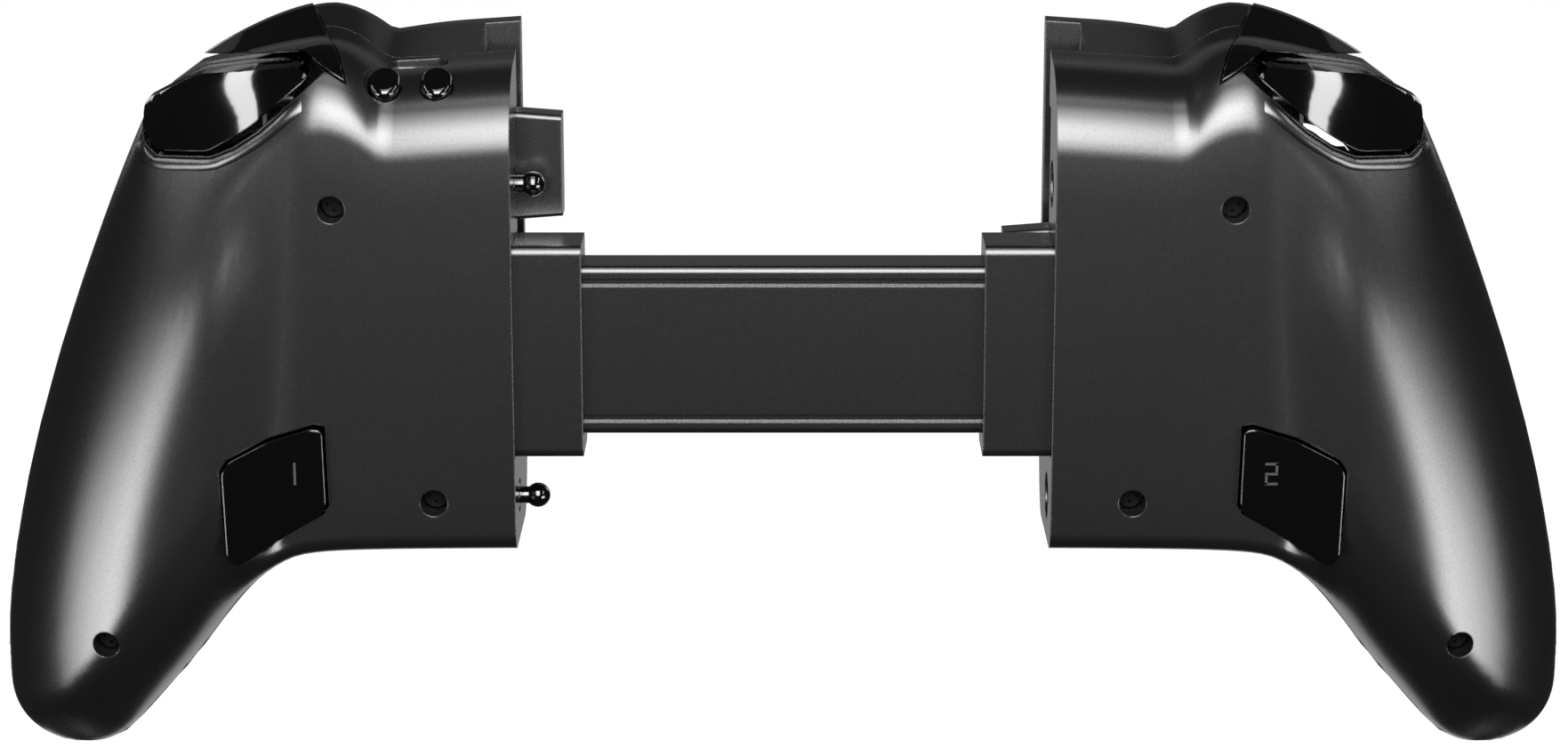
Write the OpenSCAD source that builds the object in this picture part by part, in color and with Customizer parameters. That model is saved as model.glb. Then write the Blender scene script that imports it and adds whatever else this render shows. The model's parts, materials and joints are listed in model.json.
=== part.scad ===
// Telescopic game controller: two grips on a sliding bridge, with a phone bay between them.
//
// Frame, in millimetres: X runs along the bridge, +Z is up towards the triggers, the
// back looks along -Y and the thumb sticks point along +Y. The origin is the middle
// of the bridge tube's front face. Left and right are the player's hands, with the
// sticks facing the player, so the right-hand half lies at -X.
// Each half is drawn at +X in its own coordinates: u is the distance from its inner
// face, y and z are as above. The right-hand half is the same drawing mirrored.

/* [Overall] */
// Distance from the middle of the bridge to each inner face, as stored
inner_x = 41.6; // [32:0.1:52]
// Width of one half, from its inner face to the outermost point of the grip
half_w = 83; // [80:0.5:90]
// Depth of the flat back panel behind the bridge tube's front face
back_depth = 12.2; // [11.8:0.1:15]
// Distance of the front face before the bridge tube's front face
front_depth = 19.8; // [19:0.1:23]
// Height of the top edge at the inner face
top_z = 48; // [47:0.5:50]
// Distance of the centre block's underside below the bridge axis
block_drop = 31.6; // [31:0.1:34]
// Thickness of the moulded shells
wall = 2.2; // [1.8:0.1:2.4]
// Distance of the shells' parting plane before the bridge tube's front face
part_y = 4.6; // [4.2:0.1:5]

/* [Grip] */
// Lowest point of the grip, below the bridge axis
grip_drop = 68.2; // [62:0.1:76]
// Radius of the grip's tip, seen from the back
tip_r = 11.5; // [9:0.1:14]
// Steepness of the grip's inner side, from the horizontal
under_angle = 48.6; // [45:0.1:52]
// Height of the grip's outermost point below the bridge axis
widest_drop = 50.5; // [46:0.1:54]
// Distance of the back panel's outer crease from the inner face
crease_u = 33.9; // [32:0.1:37]
// Angle by which the flank turns away beyond the crease
flank_angle = 6; // [4:0.1:6.5]
// Radius of the shoulder between the back panel and the top
shoulder_r = 12.8; // [11:0.1:14]

/* [Bumper and trigger] */
// Distance of the bumper's highest point from the inner face
peak_u = 31.3; // [30:0.1:33]
// Height of the bumper's highest point
peak_z = 51.2; // [50:0.1:54]
// Distance of the bumper's outer end from the inner face
bumper_end_u = 57; // [56:0.1:58]
// Height of the bumper's outer end
bumper_end_z = 36.7; // [35:0.1:38]
// Height of the trigger's lower edge
trigger_low_z = 30; // [29.5:0.1:31]
// Gap round the bumper and the trigger
cap_gap = 0.4; // [0.3:0.05:0.6]
// Distance by which the trigger stands proud of the shell
trigger_proud = 0.8; // [0.4:0.1:1.2]
// Radius of the trigger's and the bumper's hinge pins
hinge_r = 1; // [0.8:0.05:1.1]

/* [Bridge] */
// Length of the bridge tube
tube_l = 100; // [90:0.5:100]
// Height of the bridge tube
tube_h = 26.7; // [24:0.1:27]
// Depth of the bridge tube, front to back
tube_t = 9.4; // [8.4:0.1:9.5]
// Wall of the bridge tube
tube_wall = 1.2; // [0.9:0.1:1.6]
// Width of the two grooves along the tube's back
groove_w = 1; // [0.6:0.1:1.4]
// Distance of each groove's middle from the tube's edge
groove_inset = 2.55; // [2:0.05:4]
// Length of each collar
collar_l = 29.5; // [26:0.1:29.5]
// Side wall of each collar, above and below the tube
collar_side = 3.3; // [3.1:0.1:3.6]
// Back wall of each collar
collar_back = 1.35; // [1.1:0.05:1.4]
// Front wall of each collar
collar_front = 0.95; // [0.8:0.05:1]
// Length of collar that shows between its half and its mouth, as stored
collar_shown = 10.6; // [6:0.1:16]
// Running gap between the tube, the collars and the halves
slide_gap = 0.15; // [0.1:0.01:0.2]
// Thickness of the steel slide bars
bar_t = 2; // [1.4:0.1:2.4]
// Length by which the slide bars reach past the tube and the collars
bar_reach = 8; // [5:0.5:8]

/* [Phone bay] */
// Depth of the phone slot into each half
slot_d = 5.55; // [5.4:0.05:5.8]
// Distance of the slot's back wall before the bridge tube's front face
slot_back_y = 2.1; // [2:0.05:2.3]
// Thickness of the slot's front wall
slot_front_wall = 3.4; // [2.8:0.1:4]
// Distance of the slot's floor below the bridge axis
slot_drop = 20; // [18:0.5:22]
// Distance by which each back-support tab stands out of its inner face
tab_reach = 7.1; // [6:0.1:7.1]
// Thickness of a back-support tab
tab_t = 5.8; // [4.5:0.1:6.2]
// Height of a back-support tab
tab_h = 17.1; // [15:0.1:17.2]
// Middle height of the right half's tab
right_tab_z = 26.75; // [26.4:0.05:27]
// Middle height of the left half's tab
left_tab_z = 8.25; // [8:0.05:8.6]

/* [Alignment pins] */
// Distance of each pin and socket from the bridge axis
pin_z = 25; // [24:0.1:26]
// Radius of the ball on each pin
ball_r = 1.95; // [1.6:0.05:2.1]
// Radius of each pin's shaft
pin_shaft_r = 1.35; // [1:0.05:1.4]
// Distance of each ball's centre from the inner face
ball_reach = 2.9; // [2.5:0.1:3.2]
// Outer radius of each socket
socket_r = 3.75; // [3.4:0.05:3.8]

/* [Screws] */
// Radius of each screw recess
recess_r = 2.1; // [1.9:0.05:2.3]
// Radius of each screw's shank
screw_r = 0.9; // [0.8:0.05:1]
// Radius of each screw post
post_r = 2.6; // [2.4:0.05:2.8]
// Distance of the upper screws from the inner face
upper_screw_u = 27.4; // [26.5:0.1:27.4]
// Height of the upper screws
upper_screw_z = 22.8; // [22:0.1:24]

/* [Paddles] */
// Distance by which each back paddle stands proud
paddle_proud = 1.3; // [0.9:0.1:1.8]
// Thickness of each back paddle
paddle_t = 3; // [2.6:0.1:3.2]
// Gap round each back paddle
paddle_gap = 0.35; // [0.25:0.05:0.5]

/* [Sticks and buttons] */
// Radius of the opening round each stick
stick_well_r = 11; // [10.6:0.1:11.6]
// Radius of the stick cap's top
stick_cap_r = 8.8; // [8:0.1:9.2]
// Distance of the stick's pivot before the bridge tube's front face
stick_pivot_y = 12; // [11.9:0.05:12.2]
// Height of the stick cap's top above the front face
stick_rise = 9.8; // [9:0.1:11]
// Width of the directional pad
dpad_w = 21; // [19:0.1:22]
// Width of each arm of the directional pad
dpad_arm = 7.2; // [6:0.1:8]
// Radius of each face button
face_button_r = 4.3; // [3.8:0.05:4.4]
// Distance of each face button from the middle of the four
face_button_offset = 7.8; // [7.4:0.05:8]
// Radius of the small front buttons
menu_button_r = 3; // [2.5:0.1:3.2]
// Height by which the front buttons stand proud
button_rise = 1.6; // [1.2:0.1:2]
// Width of the two small top buttons
pill_w = 4.8; // [4.2:0.1:5]
// Length of the two small top buttons
pill_l = 6.2; // [5.8:0.1:6.6]
// Gap round every button
button_gap = 0.2; // [0.15:0.01:0.3]
// Gap round the directional pad, which tilts in its opening
dpad_gap = 0.55; // [0.5:0.05:0.7]

/* [Electronics] */
// Thickness of the circuit boards
board_t = 1.2; // [0.8:0.1:1.4]
// Distance of the boards' back before the bridge tube's front face
board_y = 8; // [7.9:0.1:8.1]
// Width of the charging socket's opening
usb_w = 9.5; // [9.3:0.05:9.8]
// Height of the charging socket's opening
usb_h = 3.5; // [3.3:0.05:3.7]
// Distance of the charging socket from the inner face
usb_u = 14.8; // [14.6:0.1:15.2]

/* [Hidden] */
LEFT = 1;
RIGHT = -1;

// Fineness of round pieces, and how far a cut runs past a face
$fn = 48;
eps = 0.05;
far = 200;

// Colours seen in the photograph, or usual for what it hides
SATIN = [0.11, 0.11, 0.115];
GLOSS = [0.02, 0.02, 0.022];
STEEL = [0.62, 0.63, 0.65];
BOARD = [0.05, 0.22, 0.13];
RUBBER = [0.07, 0.07, 0.07];
SILICONE = [0.45, 0.46, 0.47];
CELL = [0.2, 0.3, 0.55];

// Running fit between a pin or stub and its bore
pin_fit = 0.05;

// The shell's outline, seen from the back
top_fall = 0.067;
peak_run = 8.9;
peak_rise = 3.5;
peak_power = 1.75;
edge_power = 0.66;
under_blend = 2.3;
tip_u = half_w - tip_r;
tip_z = tip_r - grip_drop;
tangent_u = tip_u - tip_r * sin(under_angle);
tangent_z = tip_z - tip_r * cos(under_angle);

// The shell's section: how round each corner is near the bay and out on the grip
middle_y = 3.4;
shoulder_top_z = top_z - 4.2;
top_drop = top_z - shoulder_top_z;
grip_start_u = crease_u;
grip_full_u = bumper_end_u + 5;
taper_u = crease_u + 16;
taper_power = 2.4;
height_share = 0.94;
crease_slant = 0.08;
crease_slant_z = 32;
corner_steps = 6;
block_stations = 7;
grip_stations = 13;
end_skin = 0.05;

// Places shared by several pieces
slot_front_y = front_depth - slot_front_wall;
slot_lip_y = slot_back_y + 3.3;
slot_lip_z = 36;
slot_end_wall = 2;
slot_end_u = slot_d + slot_end_wall;
pin_y = -2.7;
tab_y = slot_back_y + 0.4;
shoulder_y = shoulder_r - back_depth + 0.6;
shoulder_z = shoulder_top_z - shoulder_r + 0.2;
bars_inset = 0.9;
stop_left = 0.7;

function ease(a, b, u) =
    let (t = min(1, max(0, (u - a) / (b - a))))
    t * t * (3 - 2 * t);
function mix(a, b, t) = a + (b - a) * t;
function soft_min(a, b, r) = (a + b) / 2 - sqrt(pow((a - b) / 2, 2) + r * r);

// Height of the outline's top edge at a distance u from the inner face
function outer_edge(u) =
    let (left = max(0, half_w - u) / (half_w - bumper_end_u))
    (bumper_end_z + widest_drop) * pow(left, edge_power) - widest_drop;
function bumper_edge(u) =
    peak_z - (peak_z - bumper_end_z) * pow((u - peak_u) / (bumper_end_u - peak_u), peak_power);
function inner_edge(u) =
    max(top_z - top_fall * u, peak_z - peak_rise * pow((peak_u - u) / peak_run, 1.8));
function top_edge(u) =
    u > bumper_end_u ? outer_edge(u) : u > peak_u ? bumper_edge(u) : inner_edge(u);

// Height of the outline's bottom edge: flat, down the grip, then round its tip
function under_line(u) = tangent_z - (u - tangent_u) * tan(under_angle);
function tip_arc(u) = tip_z - sqrt(max(0, tip_r * tip_r - pow(u - tip_u, 2)));
function bottom_edge(u) =
    u > tangent_u ? tip_arc(min(u, half_w)) : soft_min(-block_drop, under_line(u), under_blend);

// A quarter of an ellipse in the section, from angle a to a + 90
function corner(cy, cz, ry, rz, a) = [
    for (i = [0 : corner_steps])
        let (t = a + 90 * i / corner_steps)
        [cy + ry * cos(t), cz + rz * sin(t)]
];

// The section at u, drawn in by w, as four corners joined by straight stretches
function section(u, w) =
    let (
        top = (w > 0 ? min(top_edge(u), top_edge(u + w)) : max(top_edge(u), top_edge(u + w))) - w,
        low_in = bottom_edge(max(0, u - w)),
        low_out = bottom_edge(u + w),
        low = (w > 0 ? max(low_in, low_out) : min(low_in, low_out)) + w,
        grip = ease(grip_start_u, grip_full_u, u),
        crown = ease(8, 30, u),
        drop = top_drop * (1 - grip),
        high = (top - low) * height_share,
        back_top = mix(shoulder_r, 45, grip),
        back_low = mix(3, 20, grip),
        front_top = mix(mix(1.5, 9, crown), 42, grip),
        front_low = mix(42, 40, grip),
        back_k = min(1, (high - drop) / (back_top + back_low)),
        front_k = min(1, high / (front_top + front_low)),
        r_bt = max(0.4, back_top * back_k - w),
        r_bl = max(0.4, back_low * back_k - w),
        r_ft = max(0.4, front_top * front_k - w),
        r_fl = max(0.4, front_low * front_k - w),
        y_bt = max(0.4, mix(shoulder_r + 0.6, 15, grip) - w),
        y_bl = max(0.4, mix(3, 12, grip) - w),
        y_ft = max(0.4, mix(mix(1.5, 9, crown), 15, grip) - w),
        y_fl = max(0.4, mix(11, 15, grip) - w),
        back = w - back_depth,
        front = front_depth - w,
        flat = concat(
            corner(front - y_ft, top - r_ft, y_ft, r_ft, 0),
            corner(back + y_bt, top - drop - r_bt, y_bt, r_bt, 90),
            corner(back + y_bl, low + r_bl, y_bl, r_bl, 180),
            corner(front - y_fl, low + r_fl, y_fl, r_fl, 270)
        ),
        reach = min(1, max(0, (u + w - taper_u) / (half_w - taper_u))),
        thin = sqrt(max(0.0001, 1 - pow(reach, taper_power)))
    )
    [for (p = flat) shaped(u, p[0], p[1], thin)];

// Turns the flank away beyond the crease, thins the grip's outer edge and slants the crease
function shaped(u, y, z, thin) =
    let (
        back_share = min(1, max(0, (middle_y - y) / (middle_y + back_depth))),
        turned = y + back_share * tan(flank_angle) * max(0, u - crease_u),
        lean = ease(8, crease_u, u) * (1 - ease(crease_u, crease_u + 22, u)),
        z_near = min(crease_slant_z, max(-crease_slant_z, z))
    )
    [u - crease_slant * z_near * lean, middle_y + (turned - middle_y) * thin, z];

// A closed solid through equal rings of points, with its ends closed to their middles
function mean(ring) = [for (k = [0 : 2]) (min([for (p = ring) p[k]]) + max([for (p = ring) p[k]])) / 2];
module loft(rings) {
    n = len(rings[0]);
    m = len(rings);
    sides = [
        for (i = [0 : m - 2]) for (j = [0 : n - 1])
            let (a = i * n + j, b = i * n + (j + 1) % n)
            each [[a, b + n, b], [a, a + n, b + n]]
    ];
    ends = [
        for (j = [0 : n - 1])
            let (k = (j + 1) % n)
            each [[m * n, j, k], [m * n + 1, (m - 1) * n + k, (m - 1) * n + j]]
    ];
    points = concat([for (ring = rings) each ring], [mean(rings[0]), mean(rings[m - 1])]);
    polyhedron(points, concat(sides, ends));
}

// The controller's outer form from u_a to u_b, drawn in by w
function stations(u_a, u_b, n) = [for (i = [0 : n]) mix(u_a, u_b, i / n)];
module form_part(w, u_a, u_b, n) {
    loft([for (u = stations(u_a, u_b, n)) section(u, w)]);
}
module form(w) {
    u_a = max(0, w);
    u_b = half_w - end_skin - (w > 0 ? w + 1 : w);
    block = [for (i = [0 : block_stations - 1]) mix(u_a, crease_u, i / block_stations)];
    grip = [for (i = [0 : grip_stations]) mix(crease_u, u_b, sin(90 * i / grip_stations))];
    loft([for (u = concat(block, grip)) section(u, w)]);
}

// Puts a half's piece in its place
module half(side) {
    mirror([side < 0 ? 1 : 0, 0, 0]) translate([inner_x, 0, 0]) children();
}
module box(low, high) {
    translate(low) cube(high - low);
}
// A cylinder along Y from y_a to y_b
module y_rod(u, z, r, y_a, y_b) {
    translate([u, y_a, z]) rotate([-90, 0, 0]) cylinder(r = r, h = y_b - y_a);
}
// A cylinder along X from u_a to u_b
module x_rod(y, z, r, u_a, u_b) {
    translate([u_a, y, z]) rotate([0, 90, 0]) cylinder(r = r, h = u_b - u_a);
}
// A cylinder along Z from z_a to z_b
module z_rod(u, y, r, z_a, z_b) {
    translate([u, y, z_a]) cylinder(r = r, h = z_b - z_a);
}
// A prism along Y over an outline in u and z
module y_prism(outline, y_a, y_b) {
    translate([0, y_b, 0]) rotate([90, 0, 0]) linear_extrude(y_b - y_a) polygon(outline);
}
// A box with its four long edges rounded, along X
module x_bar(u_a, u_b, y_a, y_b, z_a, z_b, r) {
    box([u_a, y_a + r, z_a], [u_b, y_b - r, z_b]);
    box([u_a, y_a, z_a + r], [u_b, y_b, z_b - r]);
    for (y = [y_a + r, y_b - r])
        for (z = [z_a + r, z_b - r])
            x_rod(y, z, r, u_a, u_b);
}
// A flat-ended pill along Z: its long axis runs along Y
module pill(w, l, z_a, z_b) {
    run = (l - w) / 2;
    box([-w / 2, -run, z_a], [w / 2, run, z_b]);
    for (y = [-run, run]) z_rod(0, y, w / 2, z_a, z_b);
}

// The bridge
collar_mouth_x = inner_x - collar_shown;
collar_h = tube_h + 2 * collar_side + 2 * slide_gap;
collar_back_y = -tube_t - slide_gap - collar_back;
collar_front_y = slide_gap + collar_front;
collar_edge_r = 1.37;
tube_edge_r = 1.05;
tube_bar_y = -tube_t / 2 - bar_t / 2;
tube_bar_h = 4.4;
tube_bar_z = tube_h / 2 - tube_wall - tube_bar_h;
collar_bar_y = -7.6;
collar_bar_d = 5;
collar_bar_z = tube_h / 2 + slide_gap + bars_inset;
collar_bar_seat = 6;
collar_bar_h = collar_side - 2 * bars_inset;
cable_w = 12;
cable_t = 0.3;
cable_fold = 1.1;

module bridge_tube() {
    color(SATIN) difference() {
        x_bar(-tube_l / 2, tube_l / 2, -tube_t, 0, -tube_h / 2, tube_h / 2, tube_edge_r);
        box([-far, tube_wall - tube_t, tube_wall - tube_h / 2],
            [far, -tube_wall, tube_h / 2 - tube_wall]);
        for (s = [-1, 1]) {
            z = s * (tube_h / 2 - groove_inset);
            box([-far, -tube_t - 1, z - groove_w / 2], [far, 0.5 - tube_t, z + groove_w / 2]);
        }
    }
}

// Two steel bars fixed along the inside of the tube, which guide the collars
module tube_slide_bars() {
    color(STEEL) for (s = [-1, 1])
        box([-tube_l / 2 - bar_reach, tube_bar_y, min(s * tube_bar_z, s * (tube_bar_z + tube_bar_h))],
            [tube_l / 2 + bar_reach, tube_bar_y + bar_t,
             max(s * tube_bar_z, s * (tube_bar_z + tube_bar_h))]);
}

// The flat cable between the two boards, folded on the tube's back wall
module ribbon_cable() {
    reach = tube_l / 2 - 6;
    low = tube_wall - tube_t;
    color("darkorange") {
        for (i = [0 : 2])
            box([-reach, low + i * cable_fold, -cable_w / 2],
                [reach, low + i * cable_fold + cable_t, cable_w / 2]);
        for (i = [0, 1]) {
            x = i == 0 ? reach - cable_t : -reach;
            box([x, low + i * cable_fold, -cable_w / 2],
                [x + cable_t, low + (i + 1) * cable_fold + cable_t, cable_w / 2]);
        }
    }
}

module collar(side) {
    u_a = collar_mouth_x - inner_x;
    color(SATIN) half(side) difference() {
        x_bar(u_a, u_a + collar_l, collar_back_y, collar_front_y,
              -collar_h / 2, collar_h / 2, collar_edge_r);
        box([-far, -tube_t - slide_gap, -tube_h / 2 - slide_gap],
            [far, slide_gap, tube_h / 2 + slide_gap]);
        for (s = [-1, 1]) collar_bar(s, u_a);
    }
}

// One steel bar let into a collar's side wall, reaching past its inner end
module collar_bar(s, u_a) {
    z = s > 0 ? collar_bar_z : -collar_bar_z - collar_bar_h;
    box([u_a + collar_l - collar_bar_seat, collar_bar_y, z],
        [u_a + collar_l + bar_reach, collar_bar_y + collar_bar_d, z + collar_bar_h]);
}
module collar_bars(side) {
    color(STEEL) half(side) for (s = [-1, 1]) collar_bar(s, collar_mouth_x - inner_x);
}

// Openings shared by the shells and what sits in them
trigger_outline = [
    [28.2, 43.4], [38.4, 34.6], [42.4, 32], [46, trigger_low_z + 0.5], [54.6, trigger_low_z],
    [56.8, trigger_low_z + 1.6], [57.9, trigger_low_z + 5], [57.9, 38], [49, 43.4],
    [44, 44], [31.6, 45.6]
];
trigger_cap = [
    [30.2, 43], [39, 35.8], [43, 33.2], [46.2, trigger_low_z + 1.4], [54.2, trigger_low_z + 0.9],
    [56, trigger_low_z + 2.2], [57, trigger_low_z + 5.2], [56, 37.2], [45.9, 41.9], [32.6, 44]
];
bumper_low = [[18, 37.5], [27.8, 43.3], [31.6, 45.6], [44, 44], [49, 43.4], [53.6, 40.4], [58.2, 36]];
bumper_top = [[75, 36], [75, far], [18, far]];
bumper_plan = [[19.4, 24], [27.8, 0], [32, -12], [32, -30], [75, -30], [75, 24]];
trigger_pivot_y = 0;
trigger_pivot_z = 38;
trigger_lug_r = hinge_r + 1;
trigger_pin_a = 35;
trigger_pin_b = 42.8;
trigger_spring_l = 2.2;
lip_y = back_depth + trigger_proud - tan(flank_angle) * (46 - crease_u);
bumper_pivot_u = 30;
bumper_pivot_z = 38.8;
bumper_pin_a = 8;
bumper_pin_b = 15;
paddle_outline = [
    [29.3, -11.3], [31, -11], [38, -13.2], [44.6, -16.6], [45.8, -18.4], [45.4, -32.6],
    [44, -34.2], [42.6, -33.8], [36, -29], [29.8, -25.4], [29, -24]
];
paddle_pin_u = 31;
paddle_pin_y = -7.6;
paddle_pin_a = -24.5;
paddle_pin_b = -18.5;
paddle_room_y = -8.8;
ear_t = 2;
cap_skin = 1.8;

function grown(outline, centre, k) = [for (p = outline) centre + (p - centre) * k];

module trigger_opening() {
    y_prism(trigger_outline, -40, part_y + 1.2);
    // The lower lip is hollowed so that the trigger can swing in past it
    intersection() {
        x_rod(trigger_pivot_y, trigger_pivot_z,
              norm([lip_y + trigger_pivot_y, trigger_pivot_z - trigger_low_z - 0.9]) + cap_gap,
              trigger_outline[2][0], trigger_outline[5][0]);
        box([0, -far, 0], [far, trigger_pivot_y - 2, trigger_pivot_z]);
    }
}
module bumper_region(gap) {
    intersection() {
        y_prism(concat([for (p = bumper_low) p + [0, gap]], bumper_top), -40, 40);
        linear_extrude(far) polygon([for (p = bumper_plan) p + [gap, 0]]);
    }
}

// The bumper's space at rest and pressed
bumper_travel = 2.3;
module bumper_sweep() {
    bumper_region(0);
    translate([bumper_pivot_u, 0, bumper_pivot_z]) rotate([0, bumper_travel, 0])
        translate([-bumper_pivot_u, 0, -bumper_pivot_z]) bumper_region(0);
}

// Screws: distance from the inner face and height, upper, lower and grip
screw_places = [
    [upper_screw_u, upper_screw_z], [12.7, 7.9 - block_drop], [half_w - 18.3, grip_drop - 115]
];
seat_y = -6;
screw_head_t = 1.4;
thread_l = 7;

module screw_posts(y_a, y_b) {
    for (p = screw_places) y_rod(p[0], p[1], post_r, y_a, y_b);
}

// What stands inside the shells: slot walls, collar guide, posts, ears and sleeves
guide_l = 11;
guide_wall = 2.2;
module inner_blocks(side) {
    box([0, slot_back_y - 2, -slot_drop - 2], [slot_end_u, far, far]);
    box([0, -far, -collar_h / 2 - guide_wall], [guide_l, slot_back_y, collar_h / 2 + guide_wall]);
    for (s = [-1, 1]) x_rod(pin_y, s * pin_z, socket_r + 1.2, 0, slot_end_u);
    screw_posts(-far, far);
    if (side == RIGHT) {
        for (u = pill_places) at_pill(u) pill(pill_w + 3, pill_l + 3, -6, far);
    }
}

// Ears for the hinge pins, which stand on the shells inside
ear_front = front_depth - wall / 2;
module trigger_ears() {
    for (u = [trigger_pin_a, trigger_pin_b]) {
        x_rod(trigger_pivot_y, trigger_pivot_z, trigger_lug_r, u - ear_t, u);
        box([u - ear_t, trigger_pivot_y, trigger_pivot_z - trigger_lug_r], [u, ear_front, trigger_pivot_z + 1]);
    }
}
module bumper_ears() {
    r = hinge_r + 1.2;
    floor_z = bumper_pivot_z - r - ear_t;
    for (y = [bumper_pin_a, bumper_pin_b])
        box([bumper_pivot_u - r, y, floor_z], [bumper_pivot_u + r, y + ear_t, bumper_pivot_z + r]);
    box([bumper_pivot_u - r, bumper_pin_a, floor_z], [bumper_pivot_u + r, ear_front, floor_z + ear_t]);
}
module paddle_ears() {
    for (z = [paddle_pin_a, paddle_pin_b])
        box([paddle_outline[10][0] - 2, wall / 2 - back_depth, z - ear_t],
            [paddle_pin_u + 2, paddle_pin_y + 1.9, z]);
}

// Everything that passes through a half's shells
module slot_space() {
    box([-1, slot_back_y, -slot_drop], [slot_d, slot_front_y, slot_lip_z]);
    box([-1, slot_lip_y, -slot_drop], [slot_d, slot_front_y, far]);
}
module paddle_space() {
    y_prism(paddle_outline, -40, paddle_room_y);
}
module slide_space() {
    reach = collar_l - stop_left + 0.4;
    box([-1, collar_back_y - slide_gap, -collar_h / 2 - slide_gap],
        [reach, collar_front_y + slide_gap, collar_h / 2 + slide_gap]);
    box([-1, -tube_t - 2 * slide_gap, -tube_h / 2 - 2 * slide_gap],
        [tube_l / 2, 2 * slide_gap, tube_h / 2 + 2 * slide_gap]);
}
module tab_window(side, gap) {
    z = side == LEFT ? left_tab_z : right_tab_z;
    box([-1, tab_y - gap, z - tab_h / 2 - gap], [slot_end_u + 1, tab_y + tab_t + gap, z + tab_h / 2 + gap]);
}
module pin_holes(side) {
    for (s = [-1, 1]) {
        if (side == LEFT) x_rod(pin_y, s * pin_z, socket_r, -1, slot_end_u - 1);
        if (side == RIGHT) {
            x_rod(pin_y, s * pin_z, ball_r + 0.8, -1, 0.8);
            x_rod(pin_y, s * pin_z, pin_shaft_r, 0, slot_end_u - 1);
        }
    }
}
module screw_holes() {
    for (p = screw_places) {
        y_rod(p[0], p[1], recess_r, -40, seat_y);
        y_rod(p[0], p[1], screw_r + pin_fit, seat_y - eps, part_y + thread_l);
    }
}
module hinge_holes() {
    x_rod(trigger_pivot_y, trigger_pivot_z, hinge_r, trigger_pin_a - ear_t + 0.8, trigger_pin_b + 1);
    y_rod(bumper_pivot_u, bumper_pivot_z, hinge_r, bumper_pin_a - eps, bumper_pin_b + ear_t - 0.6);
    z_rod(paddle_pin_u, paddle_pin_y, hinge_r, paddle_pin_a - ear_t + 0.8, paddle_pin_b + 1);
}
module openings(side) {
    slot_space();
    slide_space();
    tab_window(side, 0.1);
    pin_holes(side);
    screw_holes();
    trigger_opening();
    bumper_sweep();
    paddle_space();
    stick_opening(side);
    if (side == LEFT) left_front_openings();
    if (side == RIGHT) right_front_openings();
}

// Front controls: their places on each half
upper_stick = [40, 20];
lower_stick = [20, -9];
function stick_place(side) = side == LEFT ? upper_stick : lower_stick;
dpad_place = [20, -9];
face_place = [41.5, 17.5];
menu_place = [15, 15];
home_place = [15, 27];
deck_y = 15.4;

module stick_opening(side) {
    p = stick_place(side);
    y_rod(p[0], p[1], stick_well_r, part_y + 4, 40);
}
module left_front_openings() {
    dpad_cross(dpad_gap, part_y + 4, 40);
    for (p = [menu_place, home_place]) y_rod(p[0], p[1], menu_button_r + button_gap, deck_y - eps, 40);
}
module right_front_openings() {
    for (d = face_steps)
        y_rod(face_place[0] + d[0], face_place[1] + d[1], face_button_r + button_gap, deck_y - eps, 40);
    y_rod(menu_place[0], menu_place[1], menu_button_r + button_gap, deck_y - eps, 40);
    for (u = pill_places) at_pill(u) {
        pill(pill_w + 2 * button_gap, pill_l + 2 * button_gap, -7, 9);
        pill(pill_w + 1.2, pill_l + 1.2, -0.5, 9);
        pill(pill_w + 1.6, pill_l + 1.6, -9, -2.9);
    }
    usb_opening();
}
face_steps = [[0, face_button_offset], [0, -face_button_offset], [-face_button_offset, 0], [face_button_offset, 0]];

// A flat thickening of the front shell behind its buttons
module button_deck(side) {
    box([slot_end_u, deck_y, 8], [22, far, 34]);
    if (side == RIGHT)
        box([28, deck_y, 6], [57, far, 35]);
}

module shell_cavity(side) {
    difference() {
        form(wall);
        inner_blocks(side);
        button_deck(side);
    }
}
module shell_half(side, y_a, y_b) {
    difference() {
        intersection() {
            form(0);
            box([-1, y_a, -far], [far, y_b, far]);
        }
        shell_cavity(side);
        openings(side);
    }
}
module back_shell(side) {
    color(SATIN) half(side) {
        shell_half(side, -far, part_y);
        difference() {
            paddle_ears();
            hinge_holes();
            paddle_space();
        }
    }
}
module front_shell(side) {
    color(SATIN) half(side) {
        shell_half(side, part_y, far);
        difference() {
            intersection() {
                form_part(wall / 2, 24, 52, 6);
                union() {
                    trigger_ears();
                    bumper_ears();
                }
            }
            hinge_holes();
        }
    }
}

module screws(side) {
    color(STEEL) half(side) for (p = screw_places) {
        y_rod(p[0], p[1], screw_r, seat_y - screw_head_t + eps, part_y + thread_l - 0.6);
        difference() {
            y_rod(p[0], p[1], recess_r - 0.15, seat_y - screw_head_t, seat_y);
            for (a = [0, 90])
                translate([p[0], seat_y - screw_head_t, p[1]]) rotate([0, a, 0])
                    cube([2.4, 1.6, 0.5], center = true);
        }
    }
}

board_outline = [
    [10, -25.5], [34, -27], [46, -27], [52, -34], [64, -34], [66, -20], [60, 5], [54, 28],
    [24, 28], [24, 33], [10, 33]
];
module main_board(side) {
    color(BOARD) half(side) difference() {
        y_prism(board_outline, board_y, board_y + board_t);
        screw_posts_clear();
        box([slot_end_u, board_y - 1, 0], [slot_end_u + 3.2, board_y + 4, 37]);
    }
    color(GLOSS) half(side) for (p = [[50, -6], [34, -18]])
        box([p[0] - 4, board_y - 1, p[1] - 4], [p[0] + 4, board_y, p[1] + 4]);
}
module screw_posts_clear() {
    for (p = screw_places) y_rod(p[0], p[1], post_r + 0.3, -far, far);
}

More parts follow.
